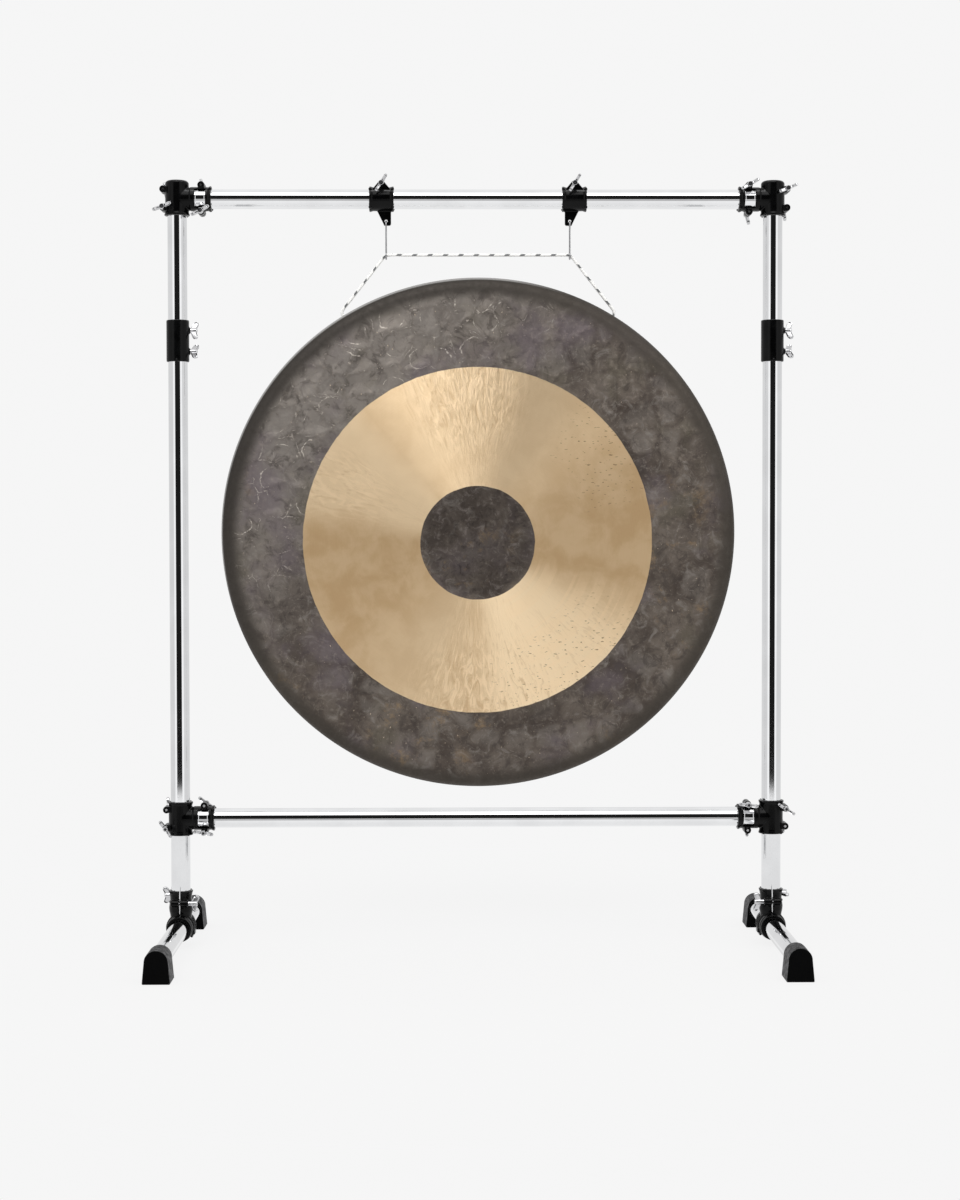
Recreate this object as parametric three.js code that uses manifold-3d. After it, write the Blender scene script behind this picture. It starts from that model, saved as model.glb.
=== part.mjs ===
// Gong stand: two braced uprights on T legs, two crossbars held by split T clamps,
// and a tam-tam gong slung on a braided rope from two hangers on the top crossbar.
// Millimetres, +Z up, +Y away from the front. The origin is on the floor, midway between
// the uprights and midway along the legs.

import * as THREE from 'three';
import { mergeVertices } from 'three/addons/utils/BufferGeometryUtils.js';
import Module from 'manifold-3d';

const wasm = await Module();
wasm.setup();

// Frame tubes
const tubeRadius = 19.05;
const tubeWall = 1.6;
const uprightSpacing = 1174;
const topBarHeight = 1476.5;
const lowerBarHeight = 254.5;
const jointDrop = 278.5;
const legAxisHeight = 38;
const frontReach = 385;
const rearReach = 238;

// Fits
const clearance = 0.3;
const splitWidth = 3;
const overrun = 2;
const tubeEndGap = 1;

// Clamp bolts
const boltRadius = 3;
const boltOffset = 26;
const earRadius = 7;
const earReach = 17;

// Wing nuts
const wingStandoff = 24;
const wingHalfSpan = 20;
const wingDepth = 10.5;
const wingSweep = 4;
const wingCorner = 3;
const wingThickness = 5.6;
const wingHubRadius = 5.6;
const wingHubLength = 18.5;

// T clamps
const sleeveRadius = 23.25;
const sleeveHeight = 66;
const lipRadius = 25.2;
const lipHeight = 8;
const capRise = 3;
const capShoulder = 2.5;
const capBevel = 1.2;
const capTopRadius = 18;
const outerEarRise = 18;
const armRadius = 23.7;
const armNeckRadius = 22.6;
const windowStart = 35.7;
const windowEnd = 57.5;
const windowHalfHeight = 18.5;
const armEnd = 68;
const armEarPlace = 48.5;
const strapWall = 1.6;
const hornReach = 27.4;
const hornSpreadShare = 0.9;

// Tube couplers
const couplerRadius = 22.4;
const couplerLength = 82;
const couplerScrewRise = 20.5;
const couplerBossRadius = 6.5;
const couplerBossReach = 24.6;
const couplerStandoff = 26.5;
const couplerHubLength = 13.5;
const couplerNotch = 5;

// Leg clamps
const collarRadius = 23.6;
const collarBottom = 62;
const collarTop = 111;
const frontEarHeight = 88;
const rearEarHeight = 97;
const neckRadius = 21.6;
const neckHeight = 12;
const saddleRadius = 26.6;
const saddleEndRadius = 24.2;
const saddleHalfLength = 40;
const saddleTaper = 12;
const jawDrop = 5;
const jawEarWidth = 7;
const jawEarLength = 22;
const jawEarHeight = 9;
const ribRadius = 28.4;
const ribWidth = 4;
const ribPitch = 13;
const ribCount = 3;

// Feet
const footHeight = 62.4;
const footBaseWidth = 51.7;
const footArchRadius = 22.2;
const footLength = 62;
const footBevel = 1.6;
const footEndWall = 6;

// Hangers
const hangerSpacing = 362;
const hangerCentre = 5;
const hangerWidth = 48;
const hangerRadius = 23.6;
const hangerBoltRise = 28;
const hangerEarBase = 34;
const tongueThickness = 5;
const tongueDrop = 52;
const tongueInner = 18.6;
const tongueOuter = 8.6;
const tongueTip = 4;
const tongueCorner = 3;
const wireInset = 8.8;

// Wire hooks
const wireRadius = 1.6;
const topEyeRadius = 6;
const lowEyeRadius = 6.8;
const hookDrop = 110.5;
const eyeOpening = Math.PI / 3;
const neckLength = 5;
const wireHoleRadius = 3;
const webHeight = 6;

// Gong
const gongRadius = 510;
const gongWall = 2.5;
const faceRadius = 484;
const faceRise = 30;
const rimDepth = 95;
const rimTaper = 5;
const cornerDepth = 24;
const holeSpan = 530;
const holeRadius = 4;
const holeDepth = 62;
const holeDrop = 121.5;

// Rope
const ropeRadius = 3;
const knotRadius = 9.4;

// Facets
const tubeSides = 20;
const clampSides = 16;
const boltSides = 6;
const earSides = 8;
const wireSides = 6;
const eyeSteps = 9;
const shankSteps = 3;
const ropeSides = 8;
const gongSides = 48;
const faceSteps = 3;
const cornerSteps = 3;
const footArcSteps = 8;
const meshTolerance = 1e-4;
const facetTolerance = 0.05;

// Where the wings point, in degrees from level, seen from the front or the outer side
const clampTurns = {
  top_left: { outer: 22, outerRear: 80, arm: 28, armRear: 72 },
  top_right: { outer: 22, outerRear: 80, arm: 30, armRear: 72 },
  lower_left: { outer: -54, outerRear: 80, arm: -9, armRear: 35 },
  lower_right: { outer: -32, outerRear: 80, arm: -7, armRear: 72 },
};
const couplerTurns = { upper: 58, lower: 42 };
const legTurns = { left: { front: 38, rear: 60 }, right: { front: 72, rear: 6 } };
const hangerTurn = 58;

const degree = Math.PI / 180;
const framePlane = (frontReach - rearReach) / 2;
const boreRadius = tubeRadius + clearance;
const strapRadius = boreRadius + strapWall;
const cornerShare = 1 / Math.cos(Math.PI / clampSides);
const boltHoleCorner = (boltRadius + clearance) / Math.cos(Math.PI / boltSides);
const barEnd = boreRadius + tubeEndGap;
const halfSpacing = uprightSpacing / 2;
const jointHeight = topBarHeight - jointDrop;
const lowEyeHeight = topBarHeight - hookDrop;
const holeHeight = lowEyeHeight - holeDrop;
const wireHoleRise = webHeight + wireHoleRadius - tongueDrop;
const eyeInside = topEyeRadius - wireRadius - clearance;
const eyeSeat = Math.sqrt(eyeInside ** 2 - (tongueThickness / 2) ** 2);
const topEyeHeight = topBarHeight + webHeight - tongueDrop - eyeSeat;

const chrome = new THREE.MeshStandardMaterial({ color: 0xd9dbdd, roughness: 0.08, metalness: 1 });
const blackPlastic = new THREE.MeshStandardMaterial({ color: 0x141414, roughness: 0.42, metalness: 0 });
const rubber = new THREE.MeshStandardMaterial({ color: 0x2c2c2e, roughness: 0.8, metalness: 0 });
const plated = new THREE.MeshStandardMaterial({ color: 0xc9cbce, roughness: 0.2, metalness: 1 });
const steelWire = new THREE.MeshStandardMaterial({ color: 0x8f9092, roughness: 0.3, metalness: 1 });
const bronze = new THREE.MeshStandardMaterial({ color: 0x6a5a48, roughness: 0.4, metalness: 1 });
const cordWhite = new THREE.MeshStandardMaterial({ color: 0xe6e4de, roughness: 0.85, metalness: 0 });

// Solids

function toSolid(geometry) {
  const bare = geometry.clone();
  bare.deleteAttribute('normal');
  bare.deleteAttribute('uv');
  const merged = mergeVertices(bare, meshTolerance);
  return new wasm.Manifold(new wasm.Mesh({
    numProp: 3,
    vertProperties: merged.attributes.position.array,
    triVerts: Uint32Array.from(merged.index.array),
  }));
}

function toGeometry(solid) {
  const mesh = solid.asOriginal().simplify(facetTolerance).getMesh();
  const geometry = new THREE.BufferGeometry();
  geometry.setAttribute('position', new THREE.BufferAttribute(mesh.vertProperties, 3));
  geometry.setIndex(new THREE.BufferAttribute(mesh.triVerts, 1));
  geometry.computeVertexNormals();
  return geometry;
}

function join(...geometries) {
  return geometries.map(toSolid).reduce((whole, next) => whole.add(next));
}

function cut(solid, ...cutters) {
  return cutters.map(toSolid).reduce((rest, cutter) => rest.subtract(cutter), solid);
}

// A profile of [radius, height] pairs, turned about Z.
function turned(profile, sides = clampSides) {
  const points = profile.map(([radius, height]) => new THREE.Vector2(radius, height));
  return new THREE.LatheGeometry(points, sides).rotateX(Math.PI / 2);
}

function ring(inner, outer, bottom, top, sides = clampSides) {
  return turned([[inner, bottom], [outer, bottom], [outer, top], [inner, top], [inner, bottom]], sides);
}

// Draws the lips of a turned piece out into horns on its four diagonals, between two heights.
function horned(geometry, from, to) {
  const position = geometry.attributes.position;
  for (let i = 0; i < position.count; i += 1) {
    const [x, y, z] = [position.getX(i), position.getY(i), position.getZ(i)];
    const radius = Math.hypot(x, y);
    const diagonal = Math.abs(2 * x * y) > hornSpreadShare * radius ** 2;
    if (diagonal && radius > lipRadius - clearance && z > from - clearance && z < to + clearance) {
      position.setXY(i, x * hornReach / radius, y * hornReach / radius);
    }
  }
  return geometry;
}

function plug(radius, bottom, top, sides = clampSides) {
  return turned([[0, bottom], [radius, bottom], [radius, top], [0, top]], sides);
}

// A cutter whose flats, not its corners, lie at the radius.
function bore(radius, bottom, top) {
  return plug(radius * cornerShare, bottom, top);
}

function block(width, depth, height, x, y, z) {
  return new THREE.BoxGeometry(width, depth, height).translate(x, y, z);
}

// A round bar along Y, between two Y values.
function pinAlongY(radius, start, end, sides, x, z) {
  return new THREE.CylinderGeometry(radius, radius, end - start, sides)
    .translate(x, (start + end) / 2, z);
}

// A flat outline in X and Z with its thickness along Y.
function plate(shape, thickness) {
  return new THREE.ExtrudeGeometry(shape, { depth: thickness, bevelEnabled: false, curveSegments: 3 })
    .translate(0, 0, -thickness / 2);
}

function plateAcrossY(shape, thickness) {
  return plate(shape, thickness).rotateX(Math.PI / 2);
}

function ontoX(geometry) {
  return geometry.rotateY(Math.PI / 2);
}

function ontoY(geometry) {
  return geometry.rotateX(-Math.PI / 2);
}

function piece(name, geometry, material, parent) {
  const mesh = new THREE.Mesh(geometry, material);
  mesh.name = name;
  parent.add(mesh);
  return mesh;
}

function groupAt(parent, x, y, z) {
  const group = new THREE.Group();
  group.position.set(x, y, z);
  parent.add(group);
  return group;
}

// Tubes

function tube(start, end) {
  return ring(tubeRadius - tubeWall, tubeRadius, start, end, tubeSides);
}

// Wing bolts: a pair of wings and a hub on a threaded shank, made along Y with the wings at -Y

function wingOutline(standoff) {
  const half = (side) => [
    [0, standoff],
    [side * wingHubRadius, standoff],
    [side * (wingHalfSpan - wingCorner), standoff + wingSweep],
    [side * wingHalfSpan, standoff + wingSweep + wingCorner],
    [side * wingHalfSpan, standoff + wingSweep + wingDepth - wingCorner],
    [side * (wingHalfSpan - wingCorner), standoff + wingSweep + wingDepth],
    [side * wingHubRadius, standoff + wingDepth],
    [0, standoff + wingDepth],
  ];
  const [right, left] = [half(1), half(-1).reverse()];
  return new THREE.Shape([...right, ...left.slice(1, -1)].map(([x, y]) => new THREE.Vector2(x, -y)));
}

function wingBolt(shankEnd, seat, standoff, hubLength) {
  const wings = plate(wingOutline(standoff), wingThickness);
  const hub = pinAlongY(wingHubRadius, -seat - hubLength, -seat - clearance, earSides, 0, 0);
  const shank = pinAlongY(boltRadius, -seat - hubLength / 2, -shankEnd, boltSides, 0, 0);
  return toGeometry(join(wings, hub, shank));
}

function clampBolt() {
  return wingBolt(-earReach + clearance, earReach, wingStandoff, wingHubLength);
}

function addBolt(parent, name, geometry, place) {
  const bolt = piece(name, geometry, plated, parent);
  bolt.position.set(place.x, place.y || 0, place.z);
  const facing = new THREE.Quaternion().setFromAxisAngle(new THREE.Vector3(0, 0, 1), place.facing);
  const turn = new THREE.Quaternion().setFromAxisAngle(new THREE.Vector3(0, 1, 0), -place.turn);
  bolt.quaternion.copy(facing.multiply(turn));
}

// T clamps: a sleeve on the upright, an arm over the crossbar end, both split and closed by bolts

function sleeveProfile(capped) {
  const half = sleeveHeight / 2;
  const foot = [[0, -half], [lipRadius, -half], [sleeveRadius, lipHeight - half]];
  if (capped) {
    return [...foot, [sleeveRadius, half - capShoulder], [sleeveRadius - capBevel, half],
      [capTopRadius, half + capRise], [0, half + capRise]];
  }
  return [...foot, [sleeveRadius, half - lipHeight], [lipRadius, half], [0, half]];
}

function armBody() {
  const profile = turned([[0, 0], [armNeckRadius, 0], [armRadius, windowStart], [armRadius, windowEnd],
    [lipRadius, armEnd], [0, armEnd]]);
  return ontoX(horned(profile, armEnd, armEnd));
}

function clampEars() {
  return [1, -1].flatMap((side) => [
    pinAlongY(earRadius, -earReach, earReach, earSides, armEarPlace, side * boltOffset),
    pinAlongY(earRadius, -earReach, earReach, earSides, -boltOffset, side * outerEarRise),
  ]);
}

function tClamp(capped) {
  const half = sleeveHeight / 2;
  const top = capped ? half + clearance : half + overrun;
  const sleeve = horned(turned(sleeveProfile(capped)), -half, half);
  const body = join(sleeve, armBody(), ...clampEars());
  const windowLength = windowEnd - windowStart;
  const windowPlace = (windowStart + windowEnd) / 2;
  const slotHeight = sleeveHeight + boltOffset + earRadius;
  const outerSlot = boltOffset + earRadius + overrun - boreRadius + splitWidth;
  const armSlot = armEnd + overrun - windowStart + lipHeight;
  const holes = [1, -1].flatMap((side) => [
    pinAlongY(boltHoleCorner, -earReach - overrun, earReach + overrun, boltSides,
      armEarPlace, side * boltOffset),
    pinAlongY(boltHoleCorner, -earReach - overrun, earReach + overrun, boltSides,
      -boltOffset, side * outerEarRise),
  ]);
  return toGeometry(cut(body,
    bore(boreRadius, -half - overrun, top),
    ontoX(bore(boreRadius, 0, armEnd + overrun)),
    ontoX(bore(strapRadius + clearance, windowStart, windowEnd)),
    block(windowLength, (armRadius + overrun) * 2, windowHalfHeight * 2, windowPlace, 0, 0),
    block(outerSlot, splitWidth, slotHeight, -boreRadius + splitWidth - outerSlot / 2, 0, 0),
    block(armSlot, splitWidth, slotHeight, armEnd + overrun - armSlot / 2, 0, 0),
    ...holes));
}

const boltGeometry = clampBolt();

function addTClamp(parent, label, side, height, geometry, turns) {
  const group = groupAt(parent, side * halfSpacing, framePlane, height);
  group.rotation.z = side > 0 ? Math.PI : 0;
  const facingFront = side > 0 ? Math.PI : 0;
  const facingBack = Math.PI - facingFront;
  const frontRow = side > 0 ? 1 : -1;
  piece(`t_clamp_${label}`, geometry, blackPlastic, group);
  piece(`t_clamp_strap_${label}`,
    ontoX(ring(boreRadius * cornerShare, strapRadius, windowStart + clearance, windowEnd - clearance)), chrome, group);
  for (const row of [1, -1]) {
    const front = row === frontRow;
    const facing = front ? facingFront : facingBack;
    const name = row > 0 ? 'upper' : 'lower';
    addBolt(group, `wing_bolt_${label}_outer_${name}`, boltGeometry,
      { x: -boltOffset, z: row * outerEarRise, facing, turn: degree * (front ? turns.outer : turns.outerRear) });
    addBolt(group, `wing_bolt_${label}_arm_${name}`, boltGeometry,
      { x: armEarPlace, z: row * boltOffset, facing, turn: degree * (front ? turns.arm : turns.armRear) });
  }
}

// Couplers: plain sleeves over the joint of two tubes, each tube held by a wing screw along X

function coupler() {
  const half = couplerLength / 2;
  const bevel = couplerRadius - boreRadius - overrun / 2;
  const body = turned([[0, -half], [couplerRadius - bevel, -half], [couplerRadius, bevel - half],
    [couplerRadius, half - bevel], [couplerRadius - bevel, half], [0, half]]);
  const bosses = [1, -1].map((side) => ontoX(plug(couplerBossRadius, 0, couplerBossReach, earSides))
    .translate(0, 0, side * couplerScrewRise));
  const holes = [1, -1].map((side) => ontoX(plug(boltHoleCorner, 0, couplerBossReach + overrun, boltSides))
    .translate(0, 0, side * couplerScrewRise));
  const notch = block(splitWidth, couplerRadius, couplerNotch, 0, -couplerRadius, -half);
  return toGeometry(cut(join(body, ...bosses), bore(boreRadius, -half - overrun, half + overrun),
    notch, ...holes));
}

// Leg clamps: a split collar on the upright over a ribbed saddle on the leg, closed below by a jaw

function saddleRing(inner) {
  const half = saddleHalfLength;
  const shoulder = half - saddleTaper;
  return ontoY(turned([[inner, -half], [saddleEndRadius, -half], [saddleRadius, -shoulder],
    [saddleRadius, shoulder], [saddleEndRadius, half], [inner, half], [inner, -half]]));
}

function ribs() {
  return Array.from({ length: ribCount }, (unused, i) => {
    const middle = (i - (ribCount - 1) / 2) * ribPitch;
    return ontoY(ring(boreRadius, ribRadius, middle - ribWidth / 2, middle + ribWidth / 2));
  });
}

function legEar(side, height) {
  return ontoX(plug(earRadius, -earReach, earReach, earSides)).translate(0, side * boltOffset, height);
}

function legClamp() {
  const low = collarBottom - legAxisHeight;
  const high = collarTop - legAxisHeight;
  const collar = horned(turned([[0, 0], [neckRadius, 0], [neckRadius, low], [collarRadius, low + neckHeight],
    [collarRadius, high - lipHeight], [lipRadius, high], [0, high]]), high, high);
  const front = frontEarHeight - legAxisHeight;
  const rear = rearEarHeight - legAxisHeight;
  const body = join(collar, saddleRing(boreRadius), ...ribs(), legEar(-1, front), legEar(1, rear));
  const drop = ribRadius + overrun;
  const slitBottom = low + splitWidth;
  const slitHeight = high + overrun - slitBottom;
  const slitDepth = (boltOffset + earRadius + overrun) * 2;
  const holes = [[-1, front], [1, rear]].map(([side, height]) => ontoX(
    plug(boltHoleCorner, -earReach - overrun, earReach + overrun, boltSides),
  ).translate(0, side * boltOffset, height));
  return toGeometry(cut(body,
    ontoY(bore(boreRadius, -saddleHalfLength - overrun, saddleHalfLength + overrun)),
    bore(boreRadius, low, high + overrun),
    block(drop * 2, saddleHalfLength * 2 + overrun, drop, 0, 0, -jawDrop - drop / 2),
    block(splitWidth, slitDepth, slitHeight, 0, 0, slitBottom + slitHeight / 2),
    ...holes));
}

function jaw() {
  const drop = ribRadius + overrun;
  const earPlace = boreRadius + jawEarWidth / 2 + overrun;
  const ears = [1, -1].map((side) => block(jawEarWidth, jawEarLength, jawEarHeight,
    side * earPlace, 0, -jawDrop - clearance - jawEarHeight / 2));
  const keep = drop * 2;
  return toGeometry(cut(join(saddleRing(boreRadius), ...ears),
    block(keep, saddleHalfLength * 2 + overrun, keep, 0, 0, keep / 2 - jawDrop - clearance),
    ontoY(bore(boreRadius, -saddleHalfLength - overrun, saddleHalfLength + overrun))));
}

// Rubber feet: arched blocks pushed over the ends of the leg tube, made with the blind end at -Y

function footShape() {
  const shape = new THREE.Shape();
  const half = footBaseWidth / 2;
  const spring = footHeight - footArchRadius;
  shape.moveTo(-half + footBevel, 0);
  shape.lineTo(half - footBevel, 0);
  shape.lineTo(half, footBevel);
  for (let i = 0; i <= footArcSteps; i += 1) {
    const angle = (i / footArcSteps) * Math.PI;
    shape.lineTo(footArchRadius * Math.cos(angle), spring + footArchRadius * Math.sin(angle));
  }
  shape.lineTo(-half, footBevel);
  return shape;
}

function foot() {
  const arch = new THREE.ExtrudeGeometry(footShape(), {
    depth: footLength - footBevel * 2,
    bevelThickness: footBevel,
    bevelSize: footBevel,
    bevelOffset: -footBevel,
    bevelSegments: 1,
    curveSegments: 1,
  });
  arch.translate(0, 0, footBevel).rotateX(Math.PI / 2).translate(0, footLength, 0);
  const socket = ontoY(bore(boreRadius, footEndWall, footLength + overrun)).translate(0, 0, legAxisHeight);
  return toGeometry(cut(join(arch), socket));
}

// Hangers: split clamps on the top crossbar with an ear above and a tongue below

function hangerEar() {
  const half = hangerEarBase / 2;
  const base = hangerRadius - earRadius;
  const shape = new THREE.Shape();
  shape.moveTo(-half, base);
  shape.lineTo(half, base);
  shape.absarc(0, hangerBoltRise, earRadius, Math.PI / 6, (5 * Math.PI) / 6, false);
  return plateAcrossY(shape, earReach * 2);
}

// The edge toward the middle of the stand is upright and the other one slants; inward is 1 or -1.
function tongueShape(inward) {
  const top = -boreRadius;
  const shape = new THREE.Shape();
  shape.moveTo(inward * tongueInner, top);
  shape.lineTo(inward * tongueInner, tongueCorner - tongueDrop);
  shape.lineTo(inward * (tongueInner - tongueCorner), -tongueDrop);
  shape.lineTo(inward * (tongueTip + tongueCorner / 2), -tongueDrop);
  shape.lineTo(inward * tongueTip, tongueCorner - tongueDrop);
  shape.lineTo(-inward * tongueOuter, -hangerRadius);
  shape.lineTo(-inward * tongueOuter, top);
  return shape;
}

function hanger(inward) {
  const half = hangerWidth / 2;
  const waist = half - lipHeight;
  const body = ontoX(horned(turned([[0, -half], [lipRadius, -half], [hangerRadius, -waist],
    [hangerRadius, waist], [lipRadius, half], [0, half]]), -half, half));
  const slotTop = hangerBoltRise + earRadius + overrun;
  return toGeometry(cut(join(body, hangerEar(), plateAcrossY(tongueShape(inward), tongueThickness)),
    ontoX(bore(boreRadius, -half - overrun, half + overrun)),
    block(hangerWidth + overrun, splitWidth, slotTop, 0, 0, slotTop / 2),
    pinAlongY(boltHoleCorner, -earReach - overrun, earReach + overrun, boltSides, 0, hangerBoltRise),
    pinAlongY(wireHoleRadius, -tongueThickness, tongueThickness, earSides,
      inward * wireInset, wireHoleRise)));
}

// Wires and cords: a round section swept through every point of a route, one step to a point

class Route extends THREE.CatmullRomCurve3 {
  getPointAt(share, target) {
    return this.getPoint(share, target);
  }

  getTangentAt(share, target) {
    return this.getTangent(share, target);
  }
}

function swept(points, radius, sides) {
  const section = new THREE.Shape();
  for (let i = 0; i < sides; i += 1) {
    const angle = (i / sides) * Math.PI * 2;
    const x = radius * Math.cos(angle);
    const y = radius * Math.sin(angle);
    if (i === 0) section.moveTo(x, y);
    else section.lineTo(x, y);
  }
  return new THREE.ExtrudeGeometry(section, {
    steps: points.length - 1,
    extrudePath: new Route(points, false, 'centripetal'),
  });
}

// Wire hooks: an eye through the hanger's tongue, a straight shank, and an eye round the rope

function eyeArc(centreHeight, radius, from, to) {
  return Array.from({ length: eyeSteps + 1 }, (unused, i) => {
    const angle = from + (to - from) * (i / eyeSteps);
    return new THREE.Vector3(0, radius * Math.cos(angle), centreHeight + radius * Math.sin(angle));
  });
}

function wireHook(topEye, lowEye) {
  const down = -Math.PI / 2;
  const up = Math.PI / 2;
  const shankTop = topEye - topEyeRadius - neckLength;
  const shankEnd = lowEye + lowEyeRadius + neckLength;
  const shank = Array.from({ length: shankSteps + 1 }, (unused, i) => new THREE.Vector3(
    0, 0, shankTop + (shankEnd - shankTop) * (i / shankSteps),
  ));
  return swept([
    ...eyeArc(topEye, topEyeRadius, down + eyeOpening, down - eyeOpening / 2 + Math.PI * 2),
    ...shank,
    ...eyeArc(lowEye, lowEyeRadius, up - eyeOpening / 2, up + eyeOpening - Math.PI * 2),
  ], wireRadius, wireSides);
}

// Gong: a spun bronze plate, domed to the front, its rim turned back and drilled for the rope.
// Made about Y, with the plane of the face's edge at Y = 0 and the open back at +Y.

function gongProfile() {
  const face = (wall) => Array.from({ length: faceSteps + 1 }, (unused, i) => {
    const share = i / faceSteps;
    return [share * (faceRadius - wall), wall - faceRise * (1 - share * share)];
  });
  const corner = (wall) => Array.from({ length: cornerSteps }, (unused, i) => {
    const angle = ((i + 1) / cornerSteps) * Math.PI / 2;
    return [
      faceRadius - wall + (gongRadius - faceRadius) * Math.sin(angle),
      wall + (cornerDepth - wall) * (1 - Math.cos(angle)),
    ];
  });
  const rim = (wall) => [[gongRadius - wall - rimTaper, rimDepth]];
  const outside = [...face(0), ...corner(0), ...rim(0)];
  const inside = [...face(gongWall), ...corner(gongWall), ...rim(gongWall)];
  return [...outside, ...inside.reverse()];
}

function gongPlate() {
  return ontoY(turned(gongProfile(), gongSides));
}

function centreOfMassDepth(geometry) {
  const position = geometry.attributes.position;
  const [a, b, c] = [new THREE.Vector3(), new THREE.Vector3(), new THREE.Vector3()];
  let volume = 0;
  let moment = 0;
  for (let i = 0; i < geometry.index.count; i += 3) {
    a.fromBufferAttribute(position, geometry.index.getX(i));
    b.fromBufferAttribute(position, geometry.index.getX(i + 1));
    c.fromBufferAttribute(position, geometry.index.getX(i + 2));
    const wedge = a.dot(b.clone().cross(c)) / 6;
    volume += wedge;
    moment += wedge * (a.y + b.y + c.y) / 4;
  }
  return moment / volume;
}

const rimRadiusAtHole = gongRadius - gongWall / 2
  - rimTaper * (holeDepth - cornerDepth) / (rimDepth - cornerDepth);
const holeRise = Math.sqrt(rimRadiusAtHole ** 2 - (holeSpan / 2) ** 2);

function drilledGong(plate) {
  const drills = [1, -1].map((side) => {
    const lean = side * Math.atan2(holeSpan / 2, holeRise);
    return plug(holeRadius, -gongWall * 3, gongWall * 3, earSides)
      .translate(0, holeDepth, rimRadiusAtHole)
      .rotateY(lean);
  });
  return toGeometry(cut(join(plate), ...drills));
}

// Rope: its route lies in the plane of the frame. Each pair is the distance from the middle of
// the gong and the rise above the hooks' low eyes, from the knot behind the rim to the middle.

const ropeRoute = [
  [259.1, -131], [265, -121.5], [266.6, -118.9], [268.3, -114.4], [268, -109.5], [265.8, -105.2],
  [249.9, -85], [234, -64.8], [218, -44.7], [202.1, -24.5], [186.2, -4.3], [181.3, -0.4],
  [175.2, 1], [140, 1], [105, 1], [70, 1], [35, 1], [0, 1],
];

function rope() {
  const half = ropeRoute.map(([across, rise]) => new THREE.Vector3(across, 0, rise));
  const mirrored = half.slice(0, -1).map((point) => new THREE.Vector3(-point.x, 0, point.z));
  const points = [...mirrored, ...half.reverse()];
  const knots = [1, -1].map((side) => new THREE.SphereGeometry(knotRadius, earSides, earSides / 2)
    .translate(side * ropeRoute[0][0], 0, ropeRoute[0][1]));
  return toGeometry(join(swept(points, ropeRadius, ropeSides), ...knots));
}

// Assembly

const stand = new THREE.Group();

function addUpright(side, label) {
  const axis = groupAt(stand, side * halfSpacing, framePlane, 0);
  const top = topBarHeight + sleeveHeight / 2;
  piece(`upright_lower_${label}`, tube(collarBottom + clearance, jointHeight - clearance / 2), chrome, axis);
  piece(`upright_upper_${label}`, tube(jointHeight + clearance / 2, top), chrome, axis);
}

function addCoupler(side, label) {
  const group = groupAt(stand, side * halfSpacing, framePlane, jointHeight);
  piece(`tube_coupler_${label}`, coupler(), blackPlastic, group);
  const screw = wingBolt(boreRadius, couplerBossReach, couplerStandoff, couplerHubLength);
  for (const [row, name] of [[1, 'upper'], [-1, 'lower']]) {
    addBolt(group, `wing_screw_coupler_${label}_${name}`, screw,
      { x: 0, z: row * couplerScrewRise, facing: Math.PI / 2, turn: couplerTurns[name] * degree });
  }
}

function addCrossbar(name, height) {
  const half = halfSpacing - barEnd;
  piece(`crossbar_${name}`, ontoX(tube(-half, half)), chrome, groupAt(stand, 0, framePlane, height));
}

function addLeg(side, label) {
  const group = groupAt(stand, side * halfSpacing, framePlane, 0);
  const saddle = groupAt(group, 0, 0, legAxisHeight);
  const shape = foot();
  const seat = footEndWall + clearance;
  piece(`leg_clamp_${label}`, legClamp(), blackPlastic, saddle);
  piece(`leg_clamp_jaw_${label}`, jaw(), blackPlastic, saddle);
  piece(`leg_tube_${label}`, ontoY(tube(seat - frontReach, rearReach - seat)), chrome, saddle);
  piece(`rubber_foot_front_${label}`, shape, rubber, groupAt(group, 0, -frontReach, 0));
  piece(`rubber_foot_rear_${label}`, shape, rubber, groupAt(group, 0, rearReach, 0)).rotation.z = Math.PI;
  const bolts = [['front', -1, frontEarHeight, -side], ['rear', 1, rearEarHeight, side]];
  for (const [name, row, height, facing] of bolts) {
    addBolt(group, `wing_bolt_leg_${label}_${name}`, boltGeometry, {
      x: 0, y: row * boltOffset, z: height, facing: facing * Math.PI / 2, turn: legTurns[label][name] * degree,
    });
  }
}

function addHanger(side, label) {
  const inward = -side;
  const wirePlace = hangerCentre + side * hangerSpacing / 2;
  const group = groupAt(stand, wirePlace - inward * wireInset, framePlane, topBarHeight);
  piece(`hanger_clamp_${label}`, hanger(inward), blackPlastic, group);
  addBolt(group, `wing_bolt_hanger_${label}`, boltGeometry,
    { x: 0, z: hangerBoltRise, facing: 0, turn: hangerTurn * degree });
  piece(`wire_hook_${label}`, wireHook(topEyeHeight, lowEyeHeight), steelWire,
    groupAt(stand, wirePlace, framePlane, 0));
}

function addGong() {
  const plate = gongPlate();
  const massDepth = centreOfMassDepth(plate);
  const tilt = Math.atan2(holeDepth - massDepth, holeRise);
  const group = groupAt(stand, hangerCentre,
    framePlane - holeDepth * Math.cos(tilt) + holeRise * Math.sin(tilt),
    holeHeight - holeDepth * Math.sin(tilt) - holeRise * Math.cos(tilt));
  group.rotation.x = tilt;
  piece('gong', drilledGong(plate), bronze, group);
  piece('gong_rope', rope(), cordWhite, groupAt(stand, hangerCentre, framePlane, lowEyeHeight));
}

const clampShapes = { top: tClamp(true), lower: tClamp(false) };
for (const [side, label] of [[-1, 'left'], [1, 'right']]) {
  addUpright(side, label);
  addCoupler(side, label);
  for (const [level, height] of [['top', topBarHeight], ['lower', lowerBarHeight]]) {
    const turns = clampTurns[`${level}_${label}`];
    addTClamp(stand, `${level}_${label}`, side, height, clampShapes[level], turns);
  }
  addLeg(side, label);
  addHanger(side, label);
}
addCrossbar('top', topBarHeight);
addCrossbar('lower', lowerBarHeight);
addGong();

export default stand;
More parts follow.
